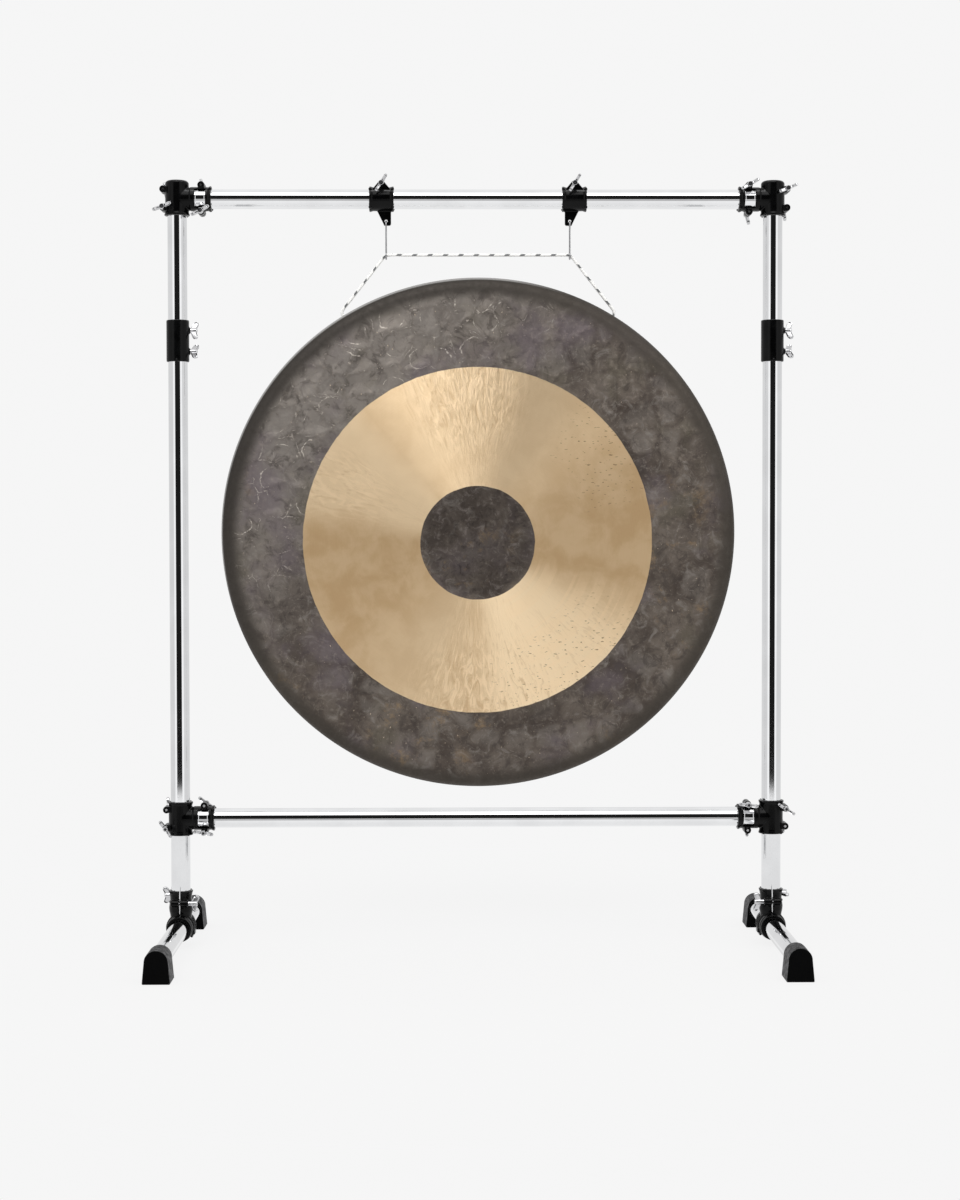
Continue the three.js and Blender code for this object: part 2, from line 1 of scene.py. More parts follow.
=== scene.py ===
"""A gong stand of chrome tube and black split clamps, with a gong slung on a rope from its top bar.

Metres, +Z up, +Y away from the front. The origin is on the floor, midway between the uprights.
"""

import math

import bpy
import numpy as np
from mathutils import Matrix, Vector


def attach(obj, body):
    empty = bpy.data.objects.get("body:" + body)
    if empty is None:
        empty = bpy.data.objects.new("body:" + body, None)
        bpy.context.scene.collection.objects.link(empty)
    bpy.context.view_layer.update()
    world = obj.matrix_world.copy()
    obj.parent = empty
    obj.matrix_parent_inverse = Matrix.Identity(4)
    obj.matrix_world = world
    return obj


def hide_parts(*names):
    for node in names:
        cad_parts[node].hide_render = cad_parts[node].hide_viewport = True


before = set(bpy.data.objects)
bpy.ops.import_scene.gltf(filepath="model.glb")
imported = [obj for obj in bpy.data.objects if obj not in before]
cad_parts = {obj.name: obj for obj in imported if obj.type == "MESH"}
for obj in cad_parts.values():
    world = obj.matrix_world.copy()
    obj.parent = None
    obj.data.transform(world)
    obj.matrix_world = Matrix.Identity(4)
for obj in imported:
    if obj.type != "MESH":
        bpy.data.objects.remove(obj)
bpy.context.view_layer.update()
bpy.ops.object.select_all(action="DESELECT")

# Camera and studio. The stand is seen from a little left of its middle and from about half its
# height, on a plain pale floor, in soft light. A dark card behind the lens draws the thin black
# line down every polished tube.

CAMERA_PLACE = (-0.0489, -4.3592, 0.829)
CAMERA_PITCH, CAMERA_ROLL, CAMERA_YAW = 90 - 1.842, 0.08, -0.738
LENS_MM, FILM_MM = 67.13, 36
PALE = 0.92
WALL_NEAR, WALL_SIDE, WALL_LOW, CEILING = 1.15, 0.82, 0.93, 1.0
DIMMED, CARD_BLACK, SOFTBOX_GAIN = 0.6, 0.012, 2.4
FLOOR_RADIUS = 40
STAND_MIDDLE = (0, 0.07, 0.8)

camera_data = bpy.data.cameras.new("studio_camera")
camera_data.sensor_fit = "AUTO"
camera_data.sensor_width = FILM_MM
camera_data.lens = LENS_MM
camera = bpy.data.objects.new("studio_camera", camera_data)
bpy.context.scene.collection.objects.link(camera)
camera.location = CAMERA_PLACE
camera.rotation_euler = [math.radians(a) for a in (CAMERA_PITCH, CAMERA_ROLL, CAMERA_YAW)]
bpy.context.scene.camera = camera
bpy.context.scene.view_settings.view_transform = "Standard"
bpy.context.scene.view_settings.look = "None"


def feed(node, inputs):
    """Links each socket given, or sets each plain value, at the input with that name or number."""
    for name, value in inputs.items():
        if isinstance(value, bpy.types.NodeSocket):
            node.id_data.links.new(value, node.inputs[name])
        else:
            node.inputs[name].default_value = value


def add(tree, kind, inputs, **settings):
    """One more shader node of a kind, with its settings made before its inputs."""
    node = tree.nodes.new("ShaderNode" + kind)
    for name, value in settings.items():
        setattr(node, name, value)
    feed(node, inputs)
    return node


def maths(tree, operation, first, second=0.0, third=0.0):
    return add(tree, "Math", {0: first, 1: second, 2: third}, operation=operation).outputs[0]


def times(tree, *factors):
    product = factors[-1]
    for factor in reversed(factors[:-1]):
        product = maths(tree, "MULTIPLY", factor, product)
    return product


def ramp(tree, value, from_low, from_high, to_low=0, to_high=1, easing="SMOOTHSTEP"):
    return add(tree, "MapRange", {"Value": value, "From Min": from_low, "From Max": from_high,
                                  "To Min": to_low, "To Max": to_high},
               interpolation_type=easing).outputs["Result"]


def window(tree, value, open_from, open_to, shut_from, shut_to):
    """1 between two soft edges and 0 outside them."""
    return times(tree, ramp(tree, value, open_from, open_to), ramp(tree, value, shut_from, shut_to, 1, 0))


def drawn_to(tree, value, goal, share):
    return maths(tree, "MULTIPLY_ADD", share, maths(tree, "SUBTRACT", goal, value), value)


def narrow(tree, turn, inside, outside):
    """1 where the azimuth is within the first angle in degrees, and 0 past the second."""
    return ramp(tree, turn, math.radians(inside), math.radians(outside), 1, 0)


world = bpy.data.worlds.new("studio")
bpy.context.scene.world = world
world.use_nodes = True
sky = world.node_tree
sky.nodes.clear()
direction = sky.nodes.new("ShaderNodeTexCoord").outputs["Generated"]
across, along, up = add(sky, "SeparateXYZ", {0: direction}).outputs
azimuth = maths(sky, "ABSOLUTE", maths(sky, "ARCTAN2", across, maths(sky, "MULTIPLY", along, -1.0)))
walls = ramp(sky, azimuth, math.radians(50), math.radians(60), WALL_NEAR, WALL_SIDE)
walls = drawn_to(sky, walls, WALL_LOW, ramp(sky, up, -0.130, -0.122, 1, 0))
room = drawn_to(sky, walls, CEILING, ramp(sky, up, 0.35, 0.60))
below = maths(sky, "ADD", ramp(sky, up, -0.52, -0.38, 1.04, 0.78), ramp(sky, up, -0.95, -0.60, -0.06, 0))
room = drawn_to(sky, room, below, ramp(sky, up, -0.22, -0.18, 1, 0))
for breadth, height, left_over in (
    (narrow(sky, azimuth, 8, 10), window(sky, up, -0.40, -0.34, -0.18, -0.17), DIMMED),
    (narrow(sky, azimuth, 30, 32), window(sky, up, -0.120, -0.112, 0.57, 0.61), CARD_BLACK),
):
    patch = times(sky, breadth, height)
    room = times(sky, room, ramp(sky, patch, 0, 1, 1, left_over, easing="LINEAR"))
softbox = times(sky, ramp(sky, maths(sky, "ABSOLUTE", across), 0.20, 0.30, 1, 0),
                window(sky, up, 0.62, 0.68, 0.90, 0.97))
softbox = times(sky, softbox, ramp(sky, along, -0.1, 0.1, 1, 0))
room = maths(sky, "MULTIPLY_ADD", softbox, SOFTBOX_GAIN, room)
lit = add(sky, "Background", {"Color": (1, 1, 1, 1), "Strength": room})
seen = add(sky, "Background", {"Color": (PALE, PALE, PALE, 1), "Strength": 1.0})
is_camera = sky.nodes.new("ShaderNodeLightPath").outputs["Is Camera Ray"]
chosen = add(sky, "MixShader", {"Fac": is_camera, 1: lit.outputs[0], 2: seen.outputs[0]})
add(sky, "OutputWorld", {"Surface": chosen.outputs[0]})


def area_light(name, place, aim, size, power, receivers):
    """A lamp at a place, aimed at a point. A collection says which pieces it lights."""
    lamp = bpy.data.lights.new(name, "AREA")
    lamp.energy = power
    if isinstance(size, tuple):
        lamp.shape = "RECTANGLE"
        lamp.size, lamp.size_y = size
    else:
        lamp.shape = "DISK"
        lamp.size = size
    light = bpy.data.objects.new(name, lamp)
    light.location = place
    light.rotation_euler = (Vector(aim) - Vector(place)).to_track_quat("-Z", "Y").to_euler()
    light.visible_camera = False
    light.light_linking.receiver_collection = receivers
    bpy.context.scene.collection.objects.link(light)


kept_off = bpy.data.collections.new("chrome_kept_off")
plastic_only = bpy.data.collections.new("plastic_only")
area_light("key_light", (-1.6, -3.0, 3.6), STAND_MIDDLE, (2.4, 1.6), 60, kept_off)
area_light("fill_light", (2.4, -2.2, 2.6), STAND_MIDDLE, (1.6, 1.6), 22, kept_off)
area_light("strip_light", (0.0, -0.2, 3.6), STAND_MIDDLE, (2.6, 0.5), 34, plastic_only)


def keep_off(piece):
    """The key and the fill leave this piece alone, so that it mirrors only the room."""
    kept_off.objects.link(piece)
    kept_off.collection_objects[-1].light_linking.link_state = "EXCLUDE"


def new_material(name):
    """A material, its tree, its shader and the Object coordinates that its patterns read."""
    finish = bpy.data.materials.new(name)
    finish.use_nodes = True
    tree = finish.node_tree
    place = tree.nodes.new("ShaderNodeTexCoord").outputs["Object"]
    return finish, tree, tree.nodes["Principled BSDF"], place


bpy.ops.mesh.primitive_circle_add(vertices=96, radius=FLOOR_RADIUS, fill_type="NGON")
floor = bpy.context.object
floor.name = "studio_floor"
paper, tree, shader, place = new_material("pale_paper")
tree.nodes.remove(shader)
reach = add(tree, "VectorMath", {0: place}, operation="LENGTH")
matt = add(tree, "BsdfDiffuse", {"Color": (0.74, 0.74, 0.74, 1)})
glow = add(tree, "Emission", {"Color": (PALE, PALE, PALE, 1), "Strength": 1.0})
blended = add(tree, "MixShader", {"Fac": ramp(tree, reach.outputs["Value"], 0.6, 1.4, 0.93, 1),
                                  1: matt.outputs[0], 2: glow.outputs[0]})
feed(tree.nodes["Material Output"], {"Surface": blended.outputs[0]})
floor.data.materials.append(paper)
floor.visible_glossy = False

# The sling: one length of 6 mm white braid with a dark fleck in each repeat, laid in the two hook
# eyes and knotted behind the gong's rim.

SIDES = (("left", -1), ("right", 1))
FRAME_PLANE = 0.0735
ROPE_HALF_MM = [
    (259.1, 1235), (265, 1244.5), (266.6, 1247.1), (268.3, 1251.6), (268, 1256.5), (265.8, 1260.8),
    (249.9, 1281), (234, 1301.2), (218, 1321.3), (202.1, 1341.5), (186.2, 1361.7), (181.3, 1365.6),
    (175.2, 1367), (140, 1367), (105, 1367), (70, 1367), (35, 1367), (0, 1367),
]
ROPE_MIDDLE = 0.005
ROPE_RADIUS, ROPE_SIDES, ROPE_STEP = 0.003, 32, 0.0007
ROPE_SPAN_POINTS, ROPE_PATH_EVERY = 12, 6
STRAND_LAY, STRANDS, STRAND_RISE = 0.0105, 8, 0.045
KNOT_SIZE, KNOT_RADIUS, KNOT_SIDES, KNOT_STEP = 0.0062, 0.0027, 20, 0.0009
FLECK_REPEAT_MM = 30.4


def only(piece):
    bpy.ops.object.select_all(action="DESELECT")
    piece.select_set(True)
    bpy.context.view_layer.objects.active = piece


def face_out(piece):
    """Turns every face of a closed mesh outwards."""
    only(piece)
    bpy.ops.object.mode_set(mode="EDIT")
    bpy.ops.mesh.select_all(action="SELECT")
    bpy.ops.mesh.normals_make_consistent(inside=False)
    bpy.ops.mesh.select_all(action="DESELECT")
    bpy.ops.object.mode_set(mode="OBJECT")


def smooth_path(points, count):
    """A centripetal curve through the points, in count even steps of its parameter per span."""
    points = [np.array(p, float) for p in points]
    points = [2 * points[0] - points[1], *points, 2 * points[-1] - points[-2]]
    line = []
    for a, b, c, d in zip(points, points[1:], points[2:], points[3:]):
        ta, tb = 0.0, np.linalg.norm(b - a) ** 0.5
        tc = tb + np.linalg.norm(c - b) ** 0.5
        td = tc + np.linalg.norm(d - c) ** 0.5
        for t in np.linspace(tb, tc, count, endpoint=False):
            ab = (tb - t) / (tb - ta) * a + (t - ta) / (tb - ta) * b
            bc = (tc - t) / (tc - tb) * b + (t - tb) / (tc - tb) * c
            cd = (td - t) / (td - tc) * c + (t - tc) / (td - tc) * d
            abc = (tc - t) / (tc - ta) * ab + (t - ta) / (tc - ta) * bc
            bcd = (td - t) / (td - tb) * bc + (t - tb) / (td - tb) * cd
            line.append((tc - t) / (tc - tb) * abc + (t - tb) / (tc - tb) * bcd)
    line.append(points[-2])
    return np.array(line)


def even_steps(line, step):
    """The same line walked in equal steps, with its own length along it at each point."""
    lengths = np.concatenate(([0], np.cumsum(np.linalg.norm(np.diff(line, axis=0), axis=1))))
    count = max(2, int(round(lengths[-1] / step)))
    at = np.linspace(0, lengths[-1], count + 1)
    return np.stack([np.interp(at, lengths, line[:, k]) for k in range(3)], axis=1), at


def tube_along(name, line, at, sides, radius_at, side_hint):
    """A closed tube round a line. radius_at gives the radius for angles at one length."""
    ahead = np.gradient(line, axis=0)
    ahead /= np.linalg.norm(ahead, axis=1)[:, None]
    hint = np.array(side_hint, float)
    first = hint - ahead * (ahead @ hint)[:, None]
    first /= np.linalg.norm(first, axis=1)[:, None]
    second = np.cross(ahead, first)
    turn = np.arange(sides) / sides * 2 * math.pi
    rings = []
    for i, length in enumerate(at):
        radius = radius_at(turn, length)
        rings.append(line[i] + (radius * np.cos(turn))[:, None] * first[i]
                     + (radius * np.sin(turn))[:, None] * second[i])
    count = len(at)
    verts = np.concatenate(rings).tolist() + [line[0].tolist(), line[-1].tolist()]
    faces = []
    for i in range(count - 1):
        for j in range(sides):
            k = (j + 1) % sides
            faces.append((i * sides + j, i * sides + k, (i + 1) * sides + k, (i + 1) * sides + j))
    start, end, last = count * sides, count * sides + 1, (count - 1) * sides
    faces += [(start, (j + 1) % sides, j) for j in range(sides)]
    faces += [(end, last + j, last + (j + 1) % sides) for j in range(sides)]
    mesh = bpy.data.meshes.new(name)
    mesh.from_pydata(verts, [], faces)
    lay = mesh.uv_layers.new(name="along")
    total = at[-1]
    for poly in mesh.polygons:
        for loop, vert in zip(poly.loop_indices, poly.vertices):
            ring, spot = divmod(min(vert, start - 1), sides)
            u = spot / sides
            if u == 0 and max(v % sides for v in poly.vertices if v < start) > sides / 2:
                u = 1.0
            lay.data[loop].uv = (u, at[ring] / total if vert < start else float(vert == end))
    piece = bpy.data.objects.new(name, mesh)
    bpy.context.scene.collection.objects.link(piece)
    face_out(piece)
    bpy.ops.object.shade_smooth()
    return piece


def braid(turn, length, radius=ROPE_RADIUS):
    """Two sets of strands that wind against each other and pass over and under."""
    wind = 2 * math.pi * length / (STRAND_LAY * STRANDS / 4)
    one = np.cos(STRANDS * (turn - wind))
    two = np.cos(STRANDS * (turn + wind))
    return radius * (1 - STRAND_RISE + STRAND_RISE * np.maximum(one, two))


def overhand_knot(middle, away, size):
    """An overhand knot pulled tight: a small trefoil whose turns press on each other."""
    t = np.linspace(0, 2 * math.pi, 140, endpoint=False)
    x = (np.sin(t) + 2 * np.sin(2 * t)) / 3
    y = (np.cos(t) - 2 * np.cos(2 * t)) / 3
    z = -np.sin(3 * t) / 2.2
    out = np.array([away, 0, 0]) * 0.85 + np.array([0, 0, -0.5])
    out /= np.linalg.norm(out)
    side = np.array([0.0, 1.0, 0.0])
    other = np.cross(out, side)
    return np.array(middle) + size * (np.outer(x, side) + np.outer(y, other) + np.outer(z, out))


def noise(tree, vector, scale, detail=2.0, rough=0.5, warp=0.0):
    return add(tree, "TexNoise", {"Vector": vector, "Scale": scale, "Detail": detail,
                                  "Roughness": rough, "Distortion": warp}).outputs[0]


def blend_colour(tree, share, low, high):
    """One colour drawn toward another. Each is three numbers or the output of a node."""
    low, high = ((*c, 1) if isinstance(c, tuple) else c for c in (low, high))
    return add(tree, "Mix", {"Factor": share, 6: low, 7: high}, data_type="RGBA").outputs[2]


def bump(tree, height, strength, distance, over=None):
    """The normals of a raised pattern, on top of another one's where that is given."""
    inputs = {"Strength": strength, "Distance": distance, "Height": height}
    if over:
        inputs["Normal"] = over
    return add(tree, "Bump", inputs).outputs[0]


def fitted(piece, node, body, finish):
    """Gives a piece its finish, its body and the node that it stands in for, if any."""
    piece.data.materials.clear()
    piece.data.materials.append(finish)
    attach(piece, body)
    if node:
        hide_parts(node)


rope_points = [(ROPE_MIDDLE - x / 1000, FRAME_PLANE, z / 1000) for x, z in ROPE_HALF_MM[:-1]]
rope_points += [(ROPE_MIDDLE + x / 1000, FRAME_PLANE, z / 1000) for x, z in reversed(ROPE_HALF_MM)]
rope_steps, rope_at = even_steps(smooth_path(rope_points, ROPE_SPAN_POINTS), ROPE_STEP)
rope = tube_along("rope", rope_steps, rope_at, ROPE_SIDES, braid, (0, 1, 0))
rope_length = float(rope_at[-1])
knots = []
for side, sign in SIDES:
    middle = (ROPE_MIDDLE + sign * ROPE_HALF_MM[0][0] / 1000, FRAME_PLANE, ROPE_HALF_MM[0][1] / 1000)
    loop = overhand_knot(middle, sign, KNOT_SIZE)
    steps, at = even_steps(np.vstack([loop, loop[:1]]), KNOT_STEP)
    knots.append(tube_along(f"rope_knot_{side}", steps, at, KNOT_SIDES,
                            lambda turn, length: braid(turn, length, KNOT_RADIUS), (0.3, 0.5, 0.8)))

white_braid, tree, shader, place = new_material("white_braid")
uv = add(tree, "UVMap", {}, uv_map="along")
around, lengthwise, _ = add(tree, "SeparateXYZ", {0: uv.outputs[0]}).outputs
length_mm = times(tree, lengthwise, rope_length * 1000)
repeat = maths(tree, "FRACT", maths(tree, "MULTIPLY_ADD", length_mm, 1 / FLECK_REPEAT_MM,
                                    times(tree, around, 0.5)))
fleck_long = ramp(tree, maths(tree, "ABSOLUTE", maths(tree, "SUBTRACT", repeat, 0.5)), 0.13, 0.19, 1, 0)
fleck_round = ramp(tree, maths(tree, "COSINE", times(tree, around, 4 * math.pi)), -0.1, 0.5)
fibre = noise(tree, place, 1400.0, 4.0)
weave = blend_colour(tree, ramp(tree, fibre, 0.3, 0.7), (0.76, 0.755, 0.73), (0.92, 0.915, 0.90))
feed(shader, {
    "Base Color": blend_colour(tree, times(tree, fleck_long, fleck_round), weave, (0.13, 0.135, 0.14)),
    "Roughness": 0.85, "Sheen Weight": 0.25, "Normal": bump(tree, fibre, 0.3, 0.0003)})

for piece in (rope, *knots):
    fitted(piece, None, "gong", white_braid)
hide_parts("gong_rope")

# The wire hooks: 3.2 mm drawn steel wire, bent to an eye through the hanger's tongue and to a
# second eye round the rope.

WIRE_RADIUS, WIRE_SIDES, WIRE_STEP = 0.0016, 16, 0.0005
TOP_EYE, LOW_EYE = 0.00600, 0.00680
TOP_EYE_Z, LOW_EYE_Z = 1.42725, 1.366
EYE_TO_SHANK = 0.005
HOOK_X = 0.181


def eye(height, radius, start, end, steps=40):
    angles = np.linspace(start, end, steps)
    return [(0.0, radius * math.cos(a), height + radius * math.sin(a)) for a in angles]


third, quarter = math.pi / 3, math.pi / 2
top_of_shank = TOP_EYE_Z - TOP_EYE - EYE_TO_SHANK
end_of_shank = LOW_EYE_Z + LOW_EYE + EYE_TO_SHANK
hook_points = eye(TOP_EYE_Z, TOP_EYE, -quarter + third, -quarter - third / 2 + 2 * math.pi)
hook_points += [(0, 0, z) for z in np.linspace(top_of_shank, end_of_shank, 14)]
hook_points += eye(LOW_EYE_Z, LOW_EYE, quarter - third / 2, quarter + third - 2 * math.pi)
hook_steps, hook_at = even_steps(smooth_path(hook_points, 4), WIRE_STEP)

drawn_wire, tree, shader, place = new_material("drawn_wire")
drawn = add(tree, "Mapping", {"Vector": place, "Scale": (1500, 1500, 60)})
marks = noise(tree, drawn.outputs[0], 1.0)
feed(shader, {"Metallic": 1.0, "Roughness": ramp(tree, marks, 0.3, 0.7, 0.25, 0.42),
              "Base Color": blend_colour(tree, marks, (0.24, 0.24, 0.245), (0.42, 0.42, 0.43))})

for side, sign in SIDES:
    offset = np.array([ROPE_MIDDLE + sign * HOOK_X, FRAME_PLANE, 0])
    hook = tube_along(f"hook_{side}", hook_steps + offset, hook_at, WIRE_SIDES,
                      lambda turn, length: np.full(len(turn), WIRE_RADIUS), (1, 0, 0))
    fitted(hook, f"wire_hook_{side}", f"hook_{side}", drawn_wire)

# The frame tubes: 38.1 mm steel tube with a 1.6 mm wall, bright chrome plated and cut square, in
# two lengths up each side, one leg below each side, and one bar above and one below the gong.

TUBE_RADIUS, TUBE_WALL, TUBE_SIDES = 0.01905, 0.0016, 96
HALF_SPACING = 0.587
TOP_BAR, LOW_BAR, JOINT, LEG_AXIS = 1.4765, 0.2545, 1.198, 0.038
BAR_END = HALF_SPACING - 0.02035
UPRIGHT_FOOT, UPRIGHT_TOP, JOINT_GAP = 0.0623, TOP_BAR + 0.033, 0.00015
LEG_HALF = 0.3052


def apply_modifiers(piece):
    only(piece)
    for modifier in list(piece.modifiers):
        bpy.ops.object.modifier_apply(modifier=modifier.name)


def bevelled(piece, width, segments, angle):
    """Rounds the edges of a piece that turn by more than an angle in degrees."""
    edge = piece.modifiers.new("edge", "BEVEL")
    edge.width, edge.segments, edge.angle_limit = width, segments, math.radians(angle)
    apply_modifiers(piece)


def smoothed(piece, angle):
    only(piece)
    bpy.ops.object.shade_smooth_by_angle(angle=math.radians(angle))


def walled(piece, thickness):
    """Gives a bare skin its wall, inwards. The wall is applied with the modifiers that follow."""
    wall = piece.modifiers.new("wall", "SOLIDIFY")
    wall.thickness, wall.offset, wall.use_rim = thickness, -1, True


def plate_shader(name, tone, rough_low, rough_high, grain):
    """Bright plate: nearly a mirror, with faint cloudiness, wipe marks and a slight waviness."""
    plate, tree, shader, place = new_material(name)
    cloud = noise(tree, place, 14.0, 5.0)
    ripple = noise(tree, place, 9.0, 0.0)
    fine = noise(tree, place, grain, 3.0)
    both = maths(tree, "MULTIPLY_ADD", fine, 0.2, times(tree, cloud, 0.8))
    dull = tuple(0.93 * t for t in tone)
    feed(shader, {"Metallic": 1.0, "Roughness": ramp(tree, both, 0.35, 0.7, rough_low, rough_high),
                  "Base Color": blend_colour(tree, ramp(tree, both, 0.35, 0.65), dull, tone),
                  "Normal": bump(tree, ripple, 0.05, 0.0002)})
    return plate


chrome_tube = plate_shader("chrome_tube", (0.80, 0.805, 0.815), 0.03, 0.05, 240.0)


def frame_tube(name, node, body, start, end):
    start, end = Vector(start), Vector(end)
    bpy.ops.mesh.primitive_cylinder_add(vertices=TUBE_SIDES, radius=TUBE_RADIUS,
                                        depth=(end - start).length, end_fill_type="NOTHING")
    tube = bpy.context.object
    tube.name = name
    tube.rotation_euler = (end - start).to_track_quat("Z", "Y").to_euler()
    tube.location = (start + end) / 2
    bpy.ops.object.transform_apply()
    walled(tube, TUBE_WALL)
    bevelled(tube, 0.0004, 2, 60)
    smoothed(tube, 12)
    fitted(tube, node, body, chrome_tube)
    keep_off(tube)


for side, sign in SIDES:
    x = sign * HALF_SPACING
    frame_tube(f"lower_tube_{side}", f"upright_lower_{side}", "frame",
               (x, FRAME_PLANE, UPRIGHT_FOOT), (x, FRAME_PLANE, JOINT - JOINT_GAP))
    frame_tube(f"upper_tube_{side}", f"upright_upper_{side}", "frame",
               (x, FRAME_PLANE, JOINT + JOINT_GAP), (x, FRAME_PLANE, UPRIGHT_TOP))
    frame_tube(f"leg_{side}", f"leg_tube_{side}", f"leg_{side}",
               (x, -LEG_HALF, LEG_AXIS), (x, LEG_HALF, LEG_AXIS))
for name, body, height in (("top", "frame", TOP_BAR), ("lower", "lower_bar", LOW_BAR)):
    frame_tube(f"{name}_bar", f"crossbar_{name}", body,
               (-BAR_END, FRAME_PLANE, height), (BAR_END, FRAME_PLANE, height))

# The couplers: plain moulded black sleeves over the joint in each upright, with a boss for each of
# two wing screws and a small notch in the lower lip.

BORE = 0.0194
BOLT_HOLE, HOLE_SIDES = 0.0033, 24
SCREW_ROW = 0.0205
SPLIT = 0.003


def turned_up(name, profile, sides=64):
    """A closed solid drawn up from a disc through pairs of radius and height."""
    radius, height = profile[0]
    bpy.ops.mesh.primitive_circle_add(vertices=sides, radius=radius, fill_type="NGON",
                                      location=(0, 0, height))
    solid = bpy.context.object
    solid.name = name
    bpy.ops.object.transform_apply()
    bpy.ops.object.mode_set(mode="EDIT")
    bpy.ops.mesh.select_all(action="SELECT")
    for (r0, z0), (r1, z1) in zip(profile, profile[1:]):
        bpy.ops.mesh.extrude_region_move(TRANSFORM_OT_translate={"value": (0, 0, z1 - z0)})
        bpy.ops.transform.resize(value=(r1 / r0, r1 / r0, 1), center_override=(0, 0, z1))
    bpy.ops.object.mode_set(mode="OBJECT")
    face_out(solid)
    return solid


def laid(solid, along="Z", place=(0, 0, 0)):
    """Turns a solid made up Z to lie along another axis, and puts it in its place."""
    only(solid)
    if along == "X":
        solid.rotation_euler = (0, math.pi / 2, 0)
    elif along == "Y":
        solid.rotation_euler = (-math.pi / 2, 0, 0)
    solid.location = place
    bpy.ops.object.transform_apply()
    return solid


def rod(radius, start, end, along="Z", place=(0, 0, 0), sides=64):
    """A plain round bar, for a bore or a hole."""
    return laid(turned_up("rod", [(radius, start), (radius, end)], sides), along, place)


def slab(size, place):
    bpy.ops.mesh.primitive_cube_add(size=1, location=place)
    block = bpy.context.object
    block.scale = size
    bpy.ops.object.transform_apply()
    return block


def merged(body, operation, *others):
    for other in others:
        only(body)
        step = body.modifiers.new("step", "BOOLEAN")
        step.operation, step.object, step.solver = operation, other, "EXACT"
        bpy.ops.object.modifier_apply(modifier=step.name)
        bpy.data.objects.remove(other)
    return body


def moulded(body, voxel=0.0008, rounds=6, share=0.45):
    """Rounds every edge as a mould does: an even skin of small quads, relaxed, then thinned."""
    skin = body.modifiers.new("skin", "REMESH")
    skin.mode, skin.voxel_size, skin.use_smooth_shade = "VOXEL", voxel, True
    relax = body.modifiers.new("relax", "SMOOTH")
    relax.factor, relax.iterations = 0.5, rounds
    thin = body.modifiers.new("thin", "DECIMATE")
    thin.ratio = share
    apply_modifiers(body)
    bpy.ops.object.shade_smooth()
    return body


def copied(piece, name, place, facing=0.0, roll=0.0):
    """A copy with its own mesh, rolled about Y, faced about Z and put in its place."""
    twin = piece.copy()
    twin.data = piece.data.copy()
    twin.name = name
    bpy.context.scene.collection.objects.link(twin)
    twin.data.transform(Matrix.Translation(place) @ Matrix.Rotation(facing, 4, "Z")
                        @ Matrix.Rotation(roll, 4, "Y"))
    return twin


black_nylon, tree, shader, place = new_material("black_nylon")
blotch = noise(tree, place, 45.0, 4.0)
worn = ramp(tree, tree.nodes.new("ShaderNodeNewGeometry").outputs["Pointiness"], 0.52, 0.6)
base = blend_colour(tree, ramp(tree, blotch, 0.35, 0.65), (0.0012, 0.0012, 0.0013), (0.0028, 0.0028, 0.0030))
feed(shader, {"Base Color": blend_colour(tree, times(tree, worn, 0.5), base, (0.03, 0.03, 0.031)),
              "Roughness": ramp(tree, blotch, 0.3, 0.7, 0.15, 0.24), "Specular IOR Level": 0.13,
              "Normal": bump(tree, noise(tree, place, 1500.0), 0.12, 0.0002)})


def nylon_copy(shape, name, place, node, body, facing=0.0):
    """One moulded black piece in its place. The strip light draws its edges."""
    piece = copied(shape, name, place, facing)
    fitted(piece, node, body, black_nylon)
    plastic_only.objects.link(piece)
    keep_off(piece)


coupler = turned_up("coupler", [(0.0213, -0.041), (0.0224, -0.0399), (0.0224, 0.0399), (0.0213, 0.041)])
for row in (1, -1):
    boss = turned_up("boss", [(0.0072, 0.015), (0.0072, 0.0222), (0.0064, 0.0238), (0.0058, 0.0246)], 32)
    coupler = merged(coupler, "UNION", laid(boss, "X", (0, 0, row * SCREW_ROW)))
coupler = merged(
    coupler, "DIFFERENCE", rod(BORE, -0.05, 0.05), slab((SPLIT, 0.02, 0.0105), (0.0, -0.0215, -0.0412)),
    *[rod(BOLT_HOLE, 0, 0.03, "X", (0, 0, row * SCREW_ROW), HOLE_SIDES) for row in (1, -1)])
moulded(coupler)
for side, sign in SIDES:
    nylon_copy(coupler, f"coupler_{side}", (sign * HALF_SPACING, FRAME_PLANE, JOINT),
               f"tube_coupler_{side}", "frame")
bpy.data.objects.remove(coupler)

# The T clamps: moulded black sleeves with an arm, split along the plane of the frame and drawn
# together by four bolts. The upper pair is capped, the lower pair slides on the uprights.

LEVELS = (("top", TOP_BAR, "frame"), ("lower", LOW_BAR, "lower_bar"))
ARM_EAR_X, ARM_EAR_Z = 0.0485, 0.026
OUTER_EAR_X, OUTER_EAR_Z = 0.026, 0.018
EAR_PROFILE, EAR_SIDES = [(0.0061, -0.017), (0.007, -0.0162), (0.007, 0.0162), (0.0061, 0.017)], 32
CLAMP_VOXEL = 0.00085
LIP_RADIUS, LIP_HEIGHT, LIP_HORN = 0.0252, 0.0312, 0.0026


def lobe(along, place):
    """A round ear for a bolt, with a small step at each face."""
    return laid(turned_up("lobe", EAR_PROFILE, EAR_SIDES), along, place)


def bolt_hole(along, place, sides=EAR_SIDES):
    return rod(BOLT_HOLE, -0.02, 0.02, along, place, sides)


def horn(place, reach=0.0031):
    bpy.ops.mesh.primitive_uv_sphere_add(segments=16, ring_count=10, radius=reach, location=place)
    knob = bpy.context.object
    bpy.ops.object.transform_apply()
    return knob


def corners(radius):
    return [(radius * math.cos(math.radians(a)), radius * math.sin(math.radians(a)))
            for a in (45, 135, 225, 315)]


